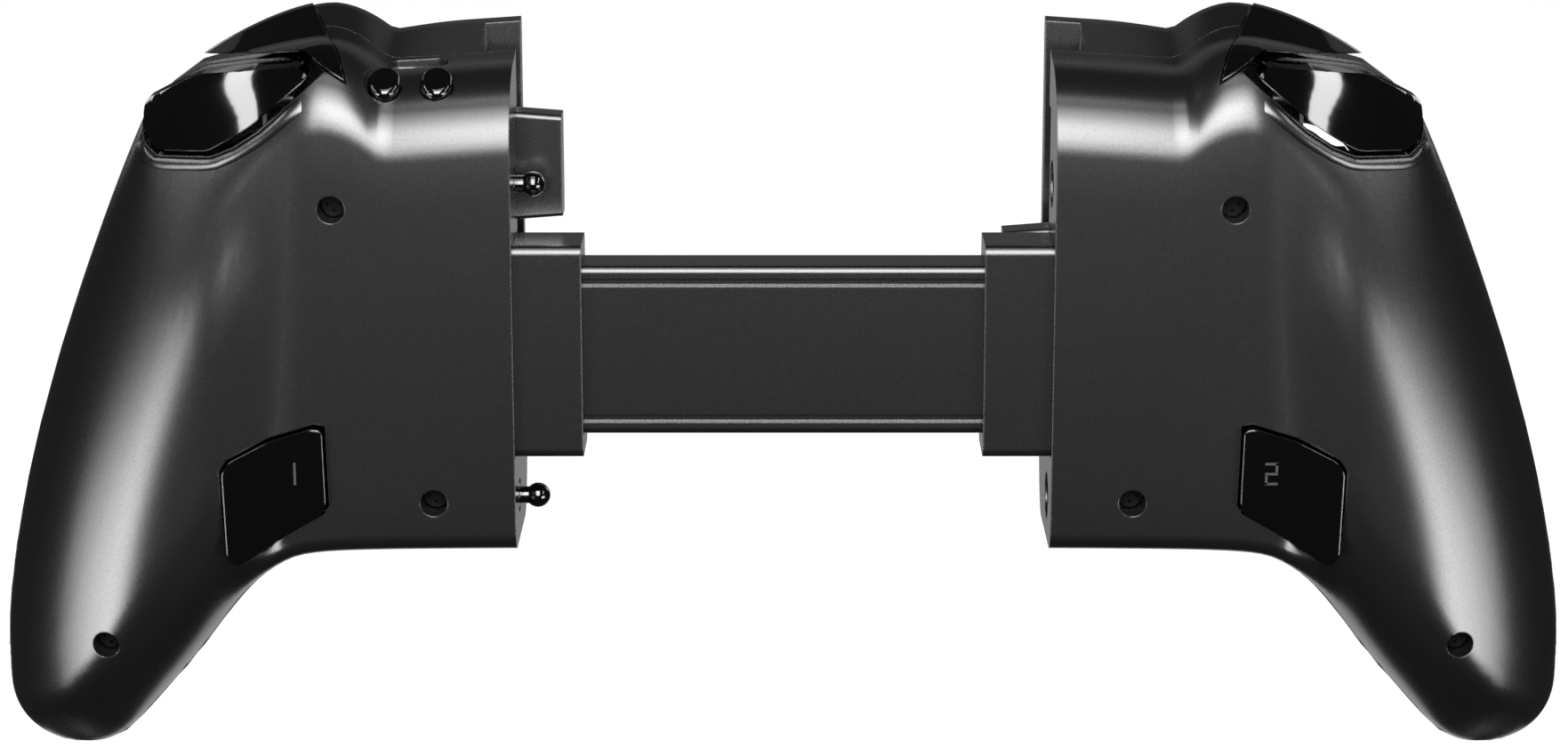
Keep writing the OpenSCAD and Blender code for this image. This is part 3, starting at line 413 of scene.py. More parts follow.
class Modeller:
    """Builds one solid in half coordinates and hands it over as a placed object."""

    def __init__(self, name: str) -> None:
        """Starts an empty solid."""
        self.name = name
        self.bm = bmesh.new()

    def loft(self, rings: list[list[Point]]) -> Modeller:
        """Stretches a grid over the rings, closes its seam and fills its ends.

        Args:
            rings: Closed sections of equal length, in order.

        Returns:
            The modeller itself.
        """
        rows, count = len(rings), len(rings[0])
        grid = bmesh.ops.create_grid(self.bm, x_segments=count, y_segments=rows - 1, size=1.0)
        verts = grid["verts"]
        for v in verts:
            j = round((v.co.x + 1) / 2 * count)
            i = round((v.co.y + 1) / 2 * (rows - 1))
            v.co = Vector(rings[i][j % count])
        bmesh.ops.remove_doubles(self.bm, verts=verts, dist=1e-4)
        edges = [e for e in self.bm.edges if e.is_boundary]
        if edges:
            bmesh.ops.holes_fill(self.bm, edges=edges, sides=0)
        bmesh.ops.recalc_face_normals(self.bm, faces=self.bm.faces)
        return self

    def box(self, low: Point, high: Point) -> Modeller:
        """Adds a box between two corners.

        Args:
            low: Lowest corner.
            high: Highest corner.

        Returns:
            The modeller itself.
        """
        size = [h - l for l, h in zip(low, high)]
        middle = [(h + l) / 2 for l, h in zip(low, high)]
        made = bmesh.ops.create_cube(self.bm, size=1.0)
        bmesh.ops.scale(self.bm, verts=made["verts"], vec=size)
        bmesh.ops.translate(self.bm, verts=made["verts"], vec=middle)
        return self

    def rod(self, axis: Axis, at: Pair, r: float, a: float, b: float,
            segments: int = 48) -> Modeller:
        """Adds a rod along an axis.

        Args:
            axis: The rod's direction.
            at: Its two other coordinates, in order.
            r: Radius.
            a: Start along the axis.
            b: End along the axis.
            segments: Number of sides.

        Returns:
            The modeller itself.
        """
        turn, middle = {
            Axis.U: (Matrix.Rotation(math.radians(90), 4, "Y"), ((a + b) / 2, at[0], at[1])),
            Axis.Y: (Matrix.Rotation(math.radians(-90), 4, "X"), (at[0], (a + b) / 2, at[1])),
            Axis.Z: (Matrix.Identity(4), (at[0], at[1], (a + b) / 2)),
        }[axis]
        bmesh.ops.create_cone(self.bm, cap_ends=True, segments=segments, radius1=r, radius2=r, depth=b - a,
                              matrix=Matrix.Translation(middle) @ turn)
        return self

    def prism(self, outline: Outline, y_a: float, y_b: float, corner: float = 0.0,
              rim: float = 0.0) -> Modeller:
        """Adds a prism along Y over an outline in u and z.

        Args:
            outline: Corners in u and z, in order.
            y_a: Back end of the prism.
            y_b: Front end of the prism.
            corner: Radius of the outline's corners.
            rim: Radius of the back face's edge.

        Returns:
            The modeller itself.
        """
        verts = [self.bm.verts.new((u, y_b, z)) for u, z in outline]
        face = self.bm.faces.new(verts)
        made = bmesh.ops.extrude_face_region(self.bm, geom=[face])
        ends = [g for g in made["geom"] if isinstance(g, bmesh.types.BMVert)]
        bmesh.ops.translate(self.bm, verts=ends, vec=(0, y_a - y_b, 0))
        if corner:
            sides = [e for v in verts for e in v.link_edges if e.other_vert(v) in ends]
            self._rounded(sides, corner, 5)
        if rim:
            edges = [e for e in self.bm.edges if all(abs(v.co.y - y_a) < 1e-4 for v in e.verts)]
            self._rounded(edges, rim, 4)
        bmesh.ops.recalc_face_normals(self.bm, faces=self.bm.faces)
        return self

    def _rounded(self, edges: list[bmesh.types.BMEdge], r: float, segments: int) -> None:
        """Rounds the given edges."""
        bmesh.ops.bevel(self.bm, geom=edges, offset=r, segments=segments, profile=0.5, affect="EDGES",
                        material=-1, clamp_overlap=True)

    def turned(self, angle: float, centre: Point = (0, 0, 0), axis: str = "X") -> Modeller:
        """Turns everything made so far by an angle in degrees about an axis through centre."""
        bmesh.ops.rotate(self.bm, verts=self.bm.verts, cent=centre,
                         matrix=Matrix.Rotation(math.radians(angle), 3, axis))
        return self

    def moved(self, by: Point) -> Modeller:
        """Moves everything made so far."""
        bmesh.ops.translate(self.bm, verts=self.bm.verts, vec=by)
        return self

    def placed(self) -> bpy.types.Object:
        """Puts the solid in the left half and returns it as an object in metres.

        Returns:
            The new object.
        """
        bmesh.ops.translate(self.bm, verts=self.bm.verts, vec=(FORM.inner_x, 0, 0))
        bmesh.ops.scale(self.bm, verts=self.bm.verts, vec=(MM, MM, MM))
        mesh = bpy.data.meshes.new(self.name)
        self.bm.to_mesh(mesh)
        self.bm.free()
        made = bpy.data.objects.new(self.name, mesh)
        bpy.context.scene.collection.objects.link(made)
        return made


def carve(target: bpy.types.Object, cutters: list[bpy.types.Object],
          operation: str = "DIFFERENCE") -> bpy.types.Object:
    """Cuts the target with every cutter, then removes the cutters.

    Args:
        target: The solid that is cut.
        cutters: Solids to take away, or to keep within.
        operation: Name of the boolean operation.

    Returns:
        The target with its new mesh.
    """
    group = bpy.data.collections.new(target.name + "_cutters")
    bpy.context.scene.collection.children.link(group)
    for c in cutters:
        group.objects.link(c)
    cut = target.modifiers.new("cut", "BOOLEAN")
    cut.operation = operation
    cut.solver = "EXACT"
    cut.operand_type = "COLLECTION"
    cut.collection = group
    cut.use_self = False
    deps = bpy.context.evaluated_depsgraph_get()
    mesh = bpy.data.meshes.new_from_object(target.evaluated_get(deps))
    target.modifiers.clear()
    old = target.data
    target.data = mesh
    bpy.data.meshes.remove(old)
    for c in cutters:
        data = c.data
        bpy.data.objects.remove(c)
        bpy.data.meshes.remove(data)
    bpy.data.collections.remove(group)
    return target


def smooth(obj: bpy.types.Object, side: Side, angle: float = 32.0) -> bpy.types.Object:
    """Puts a piece made on the left half on its own half and shades it smooth.

    Args:
        obj: The piece, made on the left half.
        side: The half it belongs to.
        angle: Edges sharper than this many degrees stay sharp.

    Returns:
        The piece.
    """
    mesh = obj.data
    if side is Side.RIGHT:
        mesh.transform(Matrix.Scale(-1, 4, (1, 0, 0)))
        mesh.flip_normals()
    clean = bmesh.new()
    clean.from_mesh(mesh)
    bmesh.ops.remove_doubles(clean, verts=clean.verts, dist=2e-7)
    bmesh.ops.dissolve_degenerate(clean, dist=1e-7, edges=clean.edges)
    clean.to_mesh(mesh)
    clean.free()
    mesh.shade_smooth()
    mesh.set_sharp_from_angle(angle=math.radians(angle))
    return obj


@dataclass(frozen=True)
class Finish:
    """A moulded, metal or rubber finish with its grain, drawn from nodes.

    The roughness runs between its two values over the grain, edge is the radius in millimetres by which
    sharp edges are shaded round, and mottle the share by which the colour drifts.
    """

    name: str
    colour: tuple[float, float, float]
    roughness: Pair = (0.35, 0.45)
    metallic: float = 0.0
    coat: float = 0.0
    coat_roughness: float = 0.05
    specular: float = 0.5
    grain: float = 900.0
    bump: float = 0.05
    edge: float = 0.0
    mottle: float = 0.08

    def build(self) -> bpy.types.Material:
        """Builds the material.

        Returns:
            The node material, which reads Object coordinates.
        """
        made = bpy.data.materials.new(self.name)
        made.use_nodes = True
        tree = made.node_tree
        shader = tree.nodes["Principled BSDF"]
        for label, value in (("Metallic", self.metallic), ("Specular IOR Level", self.specular),
                             ("Coat Weight", self.coat), ("Coat Roughness", self.coat_roughness)):
            shader.inputs[label].default_value = value
        place = tree.nodes.new("ShaderNodeTexCoord")
        self._tint(tree, place, shader)
        self._grain(tree, place, shader)
        return made

    def _tint(self, tree: bpy.types.NodeTree, place: bpy.types.Node, shader: bpy.types.Node) -> None:
        """Lets the colour drift a little over the piece.

        Args:
            tree: The material's nodes.
            place: The coordinates.
            shader: The surface shader.
        """
        cloud = self._noise(tree, place, 60.0, 3.0)
        ramp = tree.nodes.new("ShaderNodeValToRGB")
        first, last = ramp.color_ramp.elements
        first.position, last.position = 0.3, 0.7
        first.color = (*(c * (1 - self.mottle) for c in self.colour), 1)
        last.color = (*(min(1.0, c * (1 + self.mottle)) for c in self.colour), 1)
        tree.links.new(cloud.outputs["Fac"], ramp.inputs["Fac"])
        tree.links.new(ramp.outputs["Color"], shader.inputs["Base Color"])

    def _grain(self, tree: bpy.types.NodeTree, place: bpy.types.Node, shader: bpy.types.Node) -> None:
        """Varies the roughness over a fine grain, raises the grain and rounds the edges.

        Args:
            tree: The material's nodes.
            place: The coordinates.
            shader: The surface shader.
        """
        span = tree.nodes.new("ShaderNodeMapRange")
        span.inputs["To Min"].default_value = self.roughness[0]
        span.inputs["To Max"].default_value = self.roughness[1]
        fine = self._noise(tree, place, self.grain, 2.0)
        tree.links.new(fine.outputs["Fac"], span.inputs["Value"])
        tree.links.new(span.outputs["Result"], shader.inputs["Roughness"])
        bump = tree.nodes.new("ShaderNodeBump")
        bump.inputs["Strength"].default_value = self.bump
        bump.inputs["Distance"].default_value = 0.1 * MM
        tree.links.new(fine.outputs["Fac"], bump.inputs["Height"])
        if self.edge:
            bevel = tree.nodes.new("ShaderNodeBevel")
            bevel.samples = 6
            bevel.inputs["Radius"].default_value = self.edge * MM
            tree.links.new(bevel.outputs["Normal"], bump.inputs["Normal"])
        tree.links.new(bump.outputs["Normal"], shader.inputs["Normal"])

    @staticmethod
    def _noise(tree: bpy.types.NodeTree, place: bpy.types.Node, scale: float,
               detail: float) -> bpy.types.Node:
        """A noise pattern on Object coordinates.

        Args:
            tree: The material's nodes.
            place: The coordinates.
            scale: Fineness of the pattern.
            detail: Number of finer layers.

        Returns:
            The noise node.
        """
        noise = tree.nodes.new("ShaderNodeTexNoise")
        noise.inputs["Scale"].default_value = scale
        noise.inputs["Detail"].default_value = detail
        tree.links.new(place.outputs["Object"], noise.inputs["Vector"])
        return noise


@dataclass
class Finishes:
    """Every finish of the controller, built once."""

    satin: bpy.types.Material = field(init=False)
    gloss: bpy.types.Material = field(init=False)
    ink: bpy.types.Material = field(init=False)
    # Near-black screw finish: painted shade, the darkness of the screw recesses put into the heads' colour
    painted_recess_shade: bpy.types.Material = field(init=False)
    by_slot: dict[str, bpy.types.Material] = field(init=False)

    def __post_init__(self) -> None:
        """Builds the finishes and lists them by the record's slots."""
        moulded = {"roughness": (0.23, 0.3), "coat": 1.0, "coat_roughness": 0.25, "specular": 1.0,
                   "bump": 0.03, "grain": 2600.0}
        black, deep_black = (0.006, 0.006, 0.0063), (0.0012, 0.0012, 0.0012)
        self.satin = Finish("satin_shell", black, edge=0.35, **moulded).build()
        self.gloss = Finish("gloss_black", deep_black, (0.04, 0.07), coat=1.0, specular=1.0, bump=0.01,
                            edge=0.3).build()
        # Painted shade: the screw heads are coloured near black with little sheen, standing in for the
        # shade inside their recesses
        self.painted_recess_shade = Finish("blackened_screw", (0.002, 0.002, 0.002), (0.5, 0.6), specular=0.2,
                                edge=0.1).build()
        self.ink = Finish("paddle_mark", (0.05, 0.05, 0.05), (0.5, 0.6)).build()
        self.by_slot = {
            "shell": self.satin,
            "bridge": Finish("satin_bridge", black, edge=0.4, **moulded).build(),
            "gloss": self.gloss,
            "steel": Finish("plain_steel", (0.5, 0.5, 0.52), (0.25, 0.38), metallic=1.0, grain=1800.0,
                            edge=0.1).build(),
            "rubber": Finish("stick_rubber", (0.018, 0.018, 0.018), (0.6, 0.75), bump=0.3, grain=3200.0,
                             edge=0.25).build(),
            "silicone": Finish("silicone", (0.35, 0.36, 0.37), (0.5, 0.6)).build(),
            "inner": Finish("grey_moulding", (0.4, 0.4, 0.4), (0.4, 0.5)).build(),
            "board": Finish("solder_mask", (0.012, 0.09, 0.045), (0.3, 0.4), grain=500.0,
                            mottle=0.3).build(),
            "cable": Finish("polyimide_film", (0.55, 0.25, 0.03), (0.25, 0.35)).build(),
            "cell": Finish("cell_sleeve", (0.06, 0.12, 0.3), (0.3, 0.4)).build(),
        }

    def dress_frame(self, frame: dict) -> None:
        """Puts the finishes on the nodes carried over from the frame.

        Args:
            frame: What the frame's loader returned.
        """
        slots = {s["node"]: s["material_slot"] for s in frame["record"]["subparts"]}
        for name, obj in frame["nodes"].items():
            screws = name.endswith("_screws")
            # Screws take the near-black painted recess shade in place of their own slot's finish
            self.put(obj, self.painted_recess_shade if screws else self.by_slot[slots[name]])
        LOG.info("dressed %d carried-over nodes", len(frame["nodes"]))

    @staticmethod
    def put(obj: bpy.types.Object, material: bpy.types.Material) -> None:
        """Gives an object one material."""
        obj.data.materials.clear()
        obj.data.materials.append(material)


def hand_over(obj: bpy.types.Object, body: str, slot: str, material: bpy.types.Material,
              *nodes: str) -> None:
    """Dresses a piece, lets it ride on its body and takes the place of the named nodes.

    Args:
        obj: The piece.
        body: The body's name.
        slot: The material slot; not used.
        material: Its finish.
        nodes: Nodes that it stands for.
    """
    Finishes.put(obj, material)
    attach(obj, body)
    if nodes:
        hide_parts(*nodes)
    LOG.info("%s rides on %s with %d faces", obj.name, body, len(obj.data.polygons))


@dataclass
class HalfPlan:
    """Places and sizes that one half's shells share with what sits in them.

    Pairs are places in u and z, apart from bumper_plan, which is in u and y; press_angle is how far the
    bumper turns about press_centre, for which the shells leave room.
    """

    side: Side
    wall: float = 2.2
    part_y: float = 4.6
    slot_d: float = 5.55
    slot_back_y: float = 2.1
    slot_front_y: float = 16.4
    slot_end_u: float = 7.55
    slot_drop: float = 20.0
    lip_y: float = 5.4
    lip_z: float = 36.0
    collar_h: float = 33.6
    collar_back_y: float = -10.9
    tube_t: float = 9.4
    tube_h: float = 26.7
    slide_gap: float = 0.15
    slide_reach_u: float = 50.0
    tab_half: float = 8.65
    pin_y: float = -2.7
    pin_z: float = 25.0
    pin_r: float = 2.75
    socket_r: float = 3.75
    sleeve_r: float = 4.95
    stick_r: float = 11.0
    button_r: float = 3.2
    face_r: float = 4.5
    face_step: float = 7.8
    pad_reach: float = 11.05
    pad_arm: float = 4.15
    recess_r: float = 2.1
    post_r: float = 2.6
    press_angle: float = 2.3
    press_centre: Point = (30.0, 0.0, 38.8)
    pill_lean: float = 36.0
    deck_y: float = 15.4
    dpad_at: Pair = (20.0, -9.0)
    face_at: Pair = (41.5, 17.5)
    menu_at: Pair = (15.0, 15.0)
    home_at: Pair = (15.0, 27.0)
    pills: Pair = (11.3, 19.3)
    screws: Pairs = ((27.4, 22.8), (12.7, -23.7), (64.7, -46.8))
    trigger_hole: Pairs = (
        (28.2, 43.4), (38.4, 34.6), (42.4, 32), (46, 30.5), (54.6, 30), (56.8, 31.6), (57.9, 35),
        (57.9, 38), (49, 43.4), (44, 44), (31.6, 45.6))
    bumper_low: Pairs = (
        (18, 37.5), (27.8, 43.3), (31.6, 45.6), (44, 44), (49, 43.4), (53.6, 40.4), (58.2, 36))
    bumper_plan: Pairs = (
        (19.4, 24), (27.8, 0), (32, -12), (32, -30), (75, -30), (75, 24))
    paddle: Pairs = (
        (29.3, -11.3), (31, -11), (38, -13.2), (44.6, -16.6), (45.8, -18.4), (45.4, -32.6), (44, -34.2),
        (42.6, -33.8), (36, -29), (29.8, -25.4), (29, -24))

    @property
    def tab_z(self) -> float:
        """Middle height of this half's support tab."""
        return 8.25 if self.side is Side.LEFT else 26.75

    @property
    def stick_at(self) -> Pair:
        """Place of this half's stick in u and z."""
        return (40.0, 20.0) if self.side is Side.LEFT else (20.0, -9.0)

    def bumper_space(self, gap: float, name: str, press: float = 0.0) -> bpy.types.Object:
        """The room of the bumper, from its lower edge upwards, turned by press degrees.

        Args:
            gap: Distance by which the room is drawn in at its edges.
            name: Name of the solid.
            press: Angle in degrees that the room is turned by, as the bumper is when pressed.

        Returns:
            The placed solid.
        """
        outline = [(u, z + gap) for u, z in self.bumper_low] + [(75, 36), (75, 75), (18, 75)]
        room = Modeller(name).prism(outline, BEHIND, -BEHIND)
        plan = Modeller(f"{name}_plan").prism([(u + gap, y) for u, y in self.bumper_plan], 0, FAR)
        plan.turned(90)
        bmesh.ops.recalc_face_normals(plan.bm, faces=plan.bm.faces)
        if press:
            for part in (room, plan):
                part.turned(press, self.press_centre, "Y")
        return carve(room.placed(), [plan.placed()], "INTERSECT")

    def pill_maker(self, name: str, u: float, size: Pair, low: float,
                   high: float, rim: float = 0.0) -> Modeller:
        """A pill across the shoulder at u, from depth low to high along its outward axis.

        Args:
            name: Name of the solid.
            u: Distance from the inner face.
            size: Width and length of the pill.
            low: Inner end, from the shoulder's surface.
            high: Outer end, from the shoulder's surface.
            rim: Radius of the outer edge.

        Returns:
            The modeller that holds it.
        """
        w, l = size
        made = Modeller(name).prism(pill((l - w) / 2, w / 2), -high, -low, 0.0, rim).turned(-90)
        return made.moved((0, 0, FORM.shoulder_r)).turned(self.pill_lean).moved((u, 1.2, 31.2))


@dataclass
class Shells:
    """One half's two moulded shells, with every opening and the blocks that stand inside."""

    plan: HalfPlan
    finishes: Finishes

    def build(self) -> None:
        """Builds both shells and hands them over."""
        word = self.plan.side.word
        for part, low, high in (("back", -BEYOND, self.plan.part_y), ("front", self.plan.part_y, BEYOND)):
            shell = Modeller(f"{word}_{part}_moulding").loft(FORM.rings(0.0)).placed()
            keep = Modeller("keep").box((-5, low, -FAR), (FAR, high, FAR))
            carve(shell, [keep.placed()], "INTERSECT")
            carve(shell, [self._cavity()])
            carve(shell, self._openings())
            smooth(shell, self.plan.side)
            hand_over(shell, f"{word}_half", "shell", self.finishes.satin, f"{word}_{part}_shell")

    def _cavity(self) -> bpy.types.Object:
        """The hollow inside both shells, less the blocks that stay.

        Returns:
            The hollow as a solid.
        """
        p = self.plan
        hollow = Modeller("hollow").loft(FORM.rings(p.wall)).placed()
        guide = p.collar_h / 2 + p.wall
        blocks = [
            Modeller("slot_block").box((BEFORE, p.slot_back_y - 2, -p.slot_drop - 2),
                                       (p.slot_end_u, BEYOND, 90)),
            Modeller("guide").box((BEFORE, -BEYOND, -guide), (11, p.slot_back_y, guide)),
            Modeller("deck").box((p.slot_end_u - 1, p.deck_y, 8), (22, BEYOND, 34)),
        ]
        for s in (-1, 1):
            sleeve = Modeller("pin_sleeve")
            blocks.append(sleeve.rod(Axis.U, (p.pin_y, s * p.pin_z), p.sleeve_r, BEFORE, p.slot_end_u))
        blocks += [Modeller("post").rod(Axis.Y, at, p.post_r, -BEYOND, BEYOND) for at in p.screws]
        if p.side is Side.RIGHT:
            blocks += [p.pill_maker("pill_block", u, (7.8, 9.2), -6, 20) for u in p.pills]
            blocks.append(Modeller("face_deck").box((28, p.deck_y, 6), (57, BEYOND, 35)))
        for block in blocks:
            carve(hollow, [block.placed()])
        return hollow

    def _openings(self) -> list[bpy.types.Object]:
        """Every opening through the shells.

        Returns:
            The solids to cut away.
        """
        p = self.plan
        collar, tube = p.collar_h / 2 + p.slide_gap, p.tube_h / 2 + 2 * p.slide_gap
        made = [
            Modeller("slot").box((BEFORE, p.slot_back_y, -p.slot_drop),
                                 (p.slot_d, p.slot_front_y, p.lip_z)),
            Modeller("slot_top").box((BEFORE, p.lip_y, -p.slot_drop + 1),
                                     (p.slot_d - 0.001, p.slot_front_y - 0.001, 90)),
            Modeller("collar_way").box((BEFORE, p.collar_back_y - p.slide_gap, -collar),
                                       (29.2, 1.25, collar)),
            Modeller("tube_way").box((BEFORE, -p.tube_t - 2 * p.slide_gap, -tube),
                                     (p.slide_reach_u, 2 * p.slide_gap, tube)),
            Modeller("tab_way").box((BEFORE, 2.4, p.tab_z - p.tab_half), (8.55, 8.4, p.tab_z + p.tab_half)),
            Modeller("trigger_way").prism(list(p.trigger_hole), BEHIND, p.part_y + 1.2),
            Modeller("paddle_way").prism(list(p.paddle), BEHIND, -8.8),
            Modeller("stick_way").rod(Axis.Y, p.stick_at, p.stick_r, p.part_y + 4, BEYOND, 96),
        ]
        made += [Modeller("recess").rod(Axis.Y, at, p.recess_r, BEHIND, -6) for at in p.screws]
        for s in (-1, 1):
            at = (p.pin_y, s * p.pin_z)
            if p.side is Side.LEFT:
                made.append(Modeller("socket_way").rod(Axis.U, at, p.socket_r, BEFORE, p.slot_end_u - 1))
            else:
                made.append(Modeller("pin_way").rod(Axis.U, at, p.pin_r, BEFORE, 0.8))
        made += self._left_ways() if p.side is Side.LEFT else self._right_ways()
        pressed = p.bumper_space(0.0, "press_way", p.press_angle)
        return [m.placed() for m in made] + [p.bumper_space(0.0, "bumper_way"), pressed]

    def _button_way(self, at: Pair, r: float) -> Modeller:
        """A round way through the front for a button."""
        return Modeller("button_way").rod(Axis.Y, at, r, self.plan.deck_y - 1, BEYOND)

    def _left_ways(self) -> list[Modeller]:
        """The left half's own ways: the pad's cross, view and home.

        Returns:
            The modellers that hold them.
        """
        p = self.plan
        u, z = p.dpad_at
        cross = [Modeller("cross").box((u - a, 8.6, z - b), (u + a, BEYOND, z + b))
                 for a, b in ((p.pad_reach, p.pad_arm), (p.pad_arm, p.pad_reach))]
        return cross + [self._button_way(at, p.button_r) for at in (p.menu_at, p.home_at)]

    def _right_ways(self) -> list[Modeller]:
        """The right half's own ways: the four face buttons, menu, the pills and the socket.

        Returns:
            The modellers that hold them.
        """
        p = self.plan
        steps = ((0, p.face_step), (0, -p.face_step), (-p.face_step, 0), (p.face_step, 0))
        made = [self._button_way((p.face_at[0] + a, p.face_at[1] + b), p.face_r) for a, b in steps]
        made.append(self._button_way(p.menu_at, p.button_r))
        for u in p.pills:
            made.append(p.pill_maker("pill_way", u, (5.2, 6.6), -9, 9))
            made.append(p.pill_maker("pill_recess", u, (6.0, 7.4), -0.5, 9))
        return made + [self._socket_way()]

    def _socket_way(self) -> Modeller:
        """The charging socket's opening."""
        loop = [(a, b) for b, a in pill(3, 1.75)]
        return Modeller("charging_way").prism(loop, -75, -34).turned(-90).moved((14.8, 1.8, 0))


@dataclass
class TopControls:
    """A half's bumper, its trigger and the raised rim round the trigger.

    The rim's profile holds pairs of the share across the rim, from its inner edge, and the depth from
    the form's surface, in which negative stands proud.
    """

    plan: HalfPlan
    finishes: Finishes
    gap: float = 0.4
    skin: float = 1.8
    bumper_proud: float = 0.25
    trigger_proud: float = 0.5
    trigger_crown: float = 1.0
    trigger_face: Pairs = (
        (30.2, 43), (39, 35.8), (43, 33.2), (46.2, 31.4), (54.2, 30.9), (56, 32.2), (57.2, 35.2),
        (57.2, 37.6), (48.4, 42.2), (44, 42.8), (32.6, 44.3))
    rim_outer: Pairs = (
        (25.6, 42.6), (36.8, 33.0), (41.6, 30.0), (45.6, 28.2), (55.2, 27.7), (58.9, 29.9), (60.2, 34.6),
        (60, 38))
    rim_profile: Pairs = (
        (0.09, 0.8), (0.09, -0.05), (0.22, -0.46), (0.52, -0.5), (0.88, -0.16), (1.0, 0.05), (1.0, 0.8))
    rim_root: float = 0.5
    rim_flat: float = 0.12
    rim_stations: int = 90
    rim_start: float = 0.25
    rim_run: float = 5.15

    def build(self) -> None:
        """Builds the three pieces and hands them over."""
        self._bumper()
        self._trigger()
        self._rim()

    def _cap(self, name: str, proud: float, span: Pair, crown: float = 0.0) -> bpy.types.Object:
        """A skin of the form, open at its ends.

        Args:
            name: Name of the solid.
            proud: Distance by which the skin stands over the form.
            span: First and last station.
            crown: Extra height at the middle of the span.

        Returns:
            The placed solid.
        """
        a, b = span
        cap = Modeller(name).loft(FORM.part_rings(-proud, a, b, 60, crown)).placed()
        return carve(cap, [Modeller("inside").loft(FORM.part_rings(self.skin, a - 2, b + 2, 40)).placed()])

    def _bumper(self) -> None:
        """The bumper's cap over the top edge."""
        p, word = self.plan, self.plan.side.word
        cap = self._cap(f"{word}_bumper_cap", self.bumper_proud, (17, 62))
        carve(cap, [p.bumper_space(self.gap, "bumper_room")], "INTERSECT")
        smooth(cap, p.side)
        hand_over(cap, f"{word}_bumper", "gloss", self.finishes.gloss, f"{word}_bumper")

    def _trigger(self) -> None:
        """The trigger's crowned cap on the shoulder."""
        p, word = self.plan, self.plan.side.word
        cap = self._cap(f"{word}_trigger_cap", self.trigger_proud, (27, 60), self.trigger_crown)
        room = Modeller("trigger_room").prism(list(self.trigger_face), BEHIND, p.part_y + 0.5, 1.0)
        carve(cap, [room.placed()], "INTERSECT")
        smooth(cap, p.side)
        hand_over(cap, f"{word}_trigger", "gloss", self.finishes.gloss, f"{word}_trigger")

    def _rim(self) -> None:
        """The raised rim that frames the trigger's lower edge, lofted along the form, low at its ends."""
        p, word = self.plan, self.plan.side.word
        inner = self._along(list(p.trigger_hole[:8]), 0)
        outer = self._along(list(self.rim_outer), 5)
        last = self.rim_stations
        rings = []
        for i, (a, b) in enumerate(zip(inner, outer)):
            ring = []
            rise = ease(0, 8, i) * (1 - ease(last - 13, last, i))
            for share, depth in self.rim_profile:
                u, z = mix(a[0], b[0], share), mix(a[1], b[1], share)
                height = depth if depth > self.rim_root else mix(self.rim_flat, depth, rise)
                ring.append((u, FORM.back_y(u, z) + height, z))
            rings.append(ring)
        rim = smooth(Modeller(f"{word}_trigger_rim").loft(rings).placed(), p.side, 50)
        hand_over(rim, f"{word}_half", "shell", self.finishes.satin)

    def _along(self, path: Outline, window: int) -> Outline:
        """Even stations along a path's corners, softened over a window of stations.

        Args:
            path: Corners in u and z.
            window: Number of stations at each side that a station is averaged with.

        Returns:
            The stations in u and z.
        """
        made = []
        for i in range(self.rim_stations + 1):
            t = self.rim_start + i / self.rim_stations * self.rim_run
            k = min(len(path) - 2, int(t))
            (u, z), (to_u, to_z) = path[k], path[k + 1]
            made.append((mix(u, to_u, t - k), mix(z, to_z, t - k)))
        soft = []
        for i in range(len(made)):
            near = made[max(0, i - window):i + window + 1]
            soft.append((sum(q[0] for q in near) / len(near), sum(q[1] for q in near) / len(near)))
        return soft


@dataclass
class BackPaddle:
    """A half's glossy back paddle with its plain numeral."""

    plan: HalfPlan
    finishes: Finishes
    proud: float = 1.3
    thick: float = 3.0
    centre: Pair = (37.0, -22.0)
    shrink: float = 1 - 0.35 / 8
    post_at: Pair = (31.0, -7.6)
    post_r: float = 1.9
    post_z: Pair = (-24.2, -20.8)
    mark_at: Pair = (34.0, -18.6)
    mark_half: float = 1.8
    stroke_half: float = 0.2

    def build(self) -> None:
        """Builds the paddle and its numeral."""
        p, word = self.plan, self.plan.side.word
        surface = -FORM.back_depth - self.proud
        inside = surface + self.thick
        (cu, cz), (low, high), (u, y) = self.centre, self.post_z, self.post_at
        face = [(cu + (a - cu) * self.shrink, cz + (b - cz) * self.shrink) for a, b in p.paddle]
        plate = Modeller(f"{word}_paddle_plate").prism(face, surface, inside, 0.9, 0.45)
        plate.rod(Axis.Z, self.post_at, self.post_r, low, high, 32)
        plate.box((u - 1, inside - 0.3, low), (u + 1, y, high))
        obj = smooth(plate.placed(), p.side)
        hand_over(obj, f"{word}_paddle", "gloss", self.finishes.gloss, f"{word}_paddle")
        mark = Modeller(f"{word}_paddle_numeral")
        for (a, b), (c, d) in self._strokes():
            mark.box((a, surface - 0.02, b), (c, surface + 0.1, d))
        obj = smooth(mark.placed(), p.side)
        hand_over(obj, f"{word}_paddle", "gloss", self.finishes.ink)

    def _strokes(self) -> list[tuple[Pair, Pair]]:
        """Strokes of the numeral, as pairs of corners: 1 on the right half, 2 on the left.

        Returns:
            The corners, in u and z.
        """
        (u, z), t, h = self.mark_at, self.stroke_half, self.mark_half
        if self.plan.side is Side.RIGHT:
            return [((u - t, z - h), (u + t, z + h))]
        bars = [((u - 1, z + d - t), (u + 1, z + d + t)) for d in (t - h, 0.0, h - t)]
        upper = ((u + 1 - 2 * t, z + 0.1), (u + 1, z + h - 0.1))
        lower = ((u - 1, z - h + 0.1), (u - 1 + 2 * t, z - 0.1))
        return bars + [upper, lower]


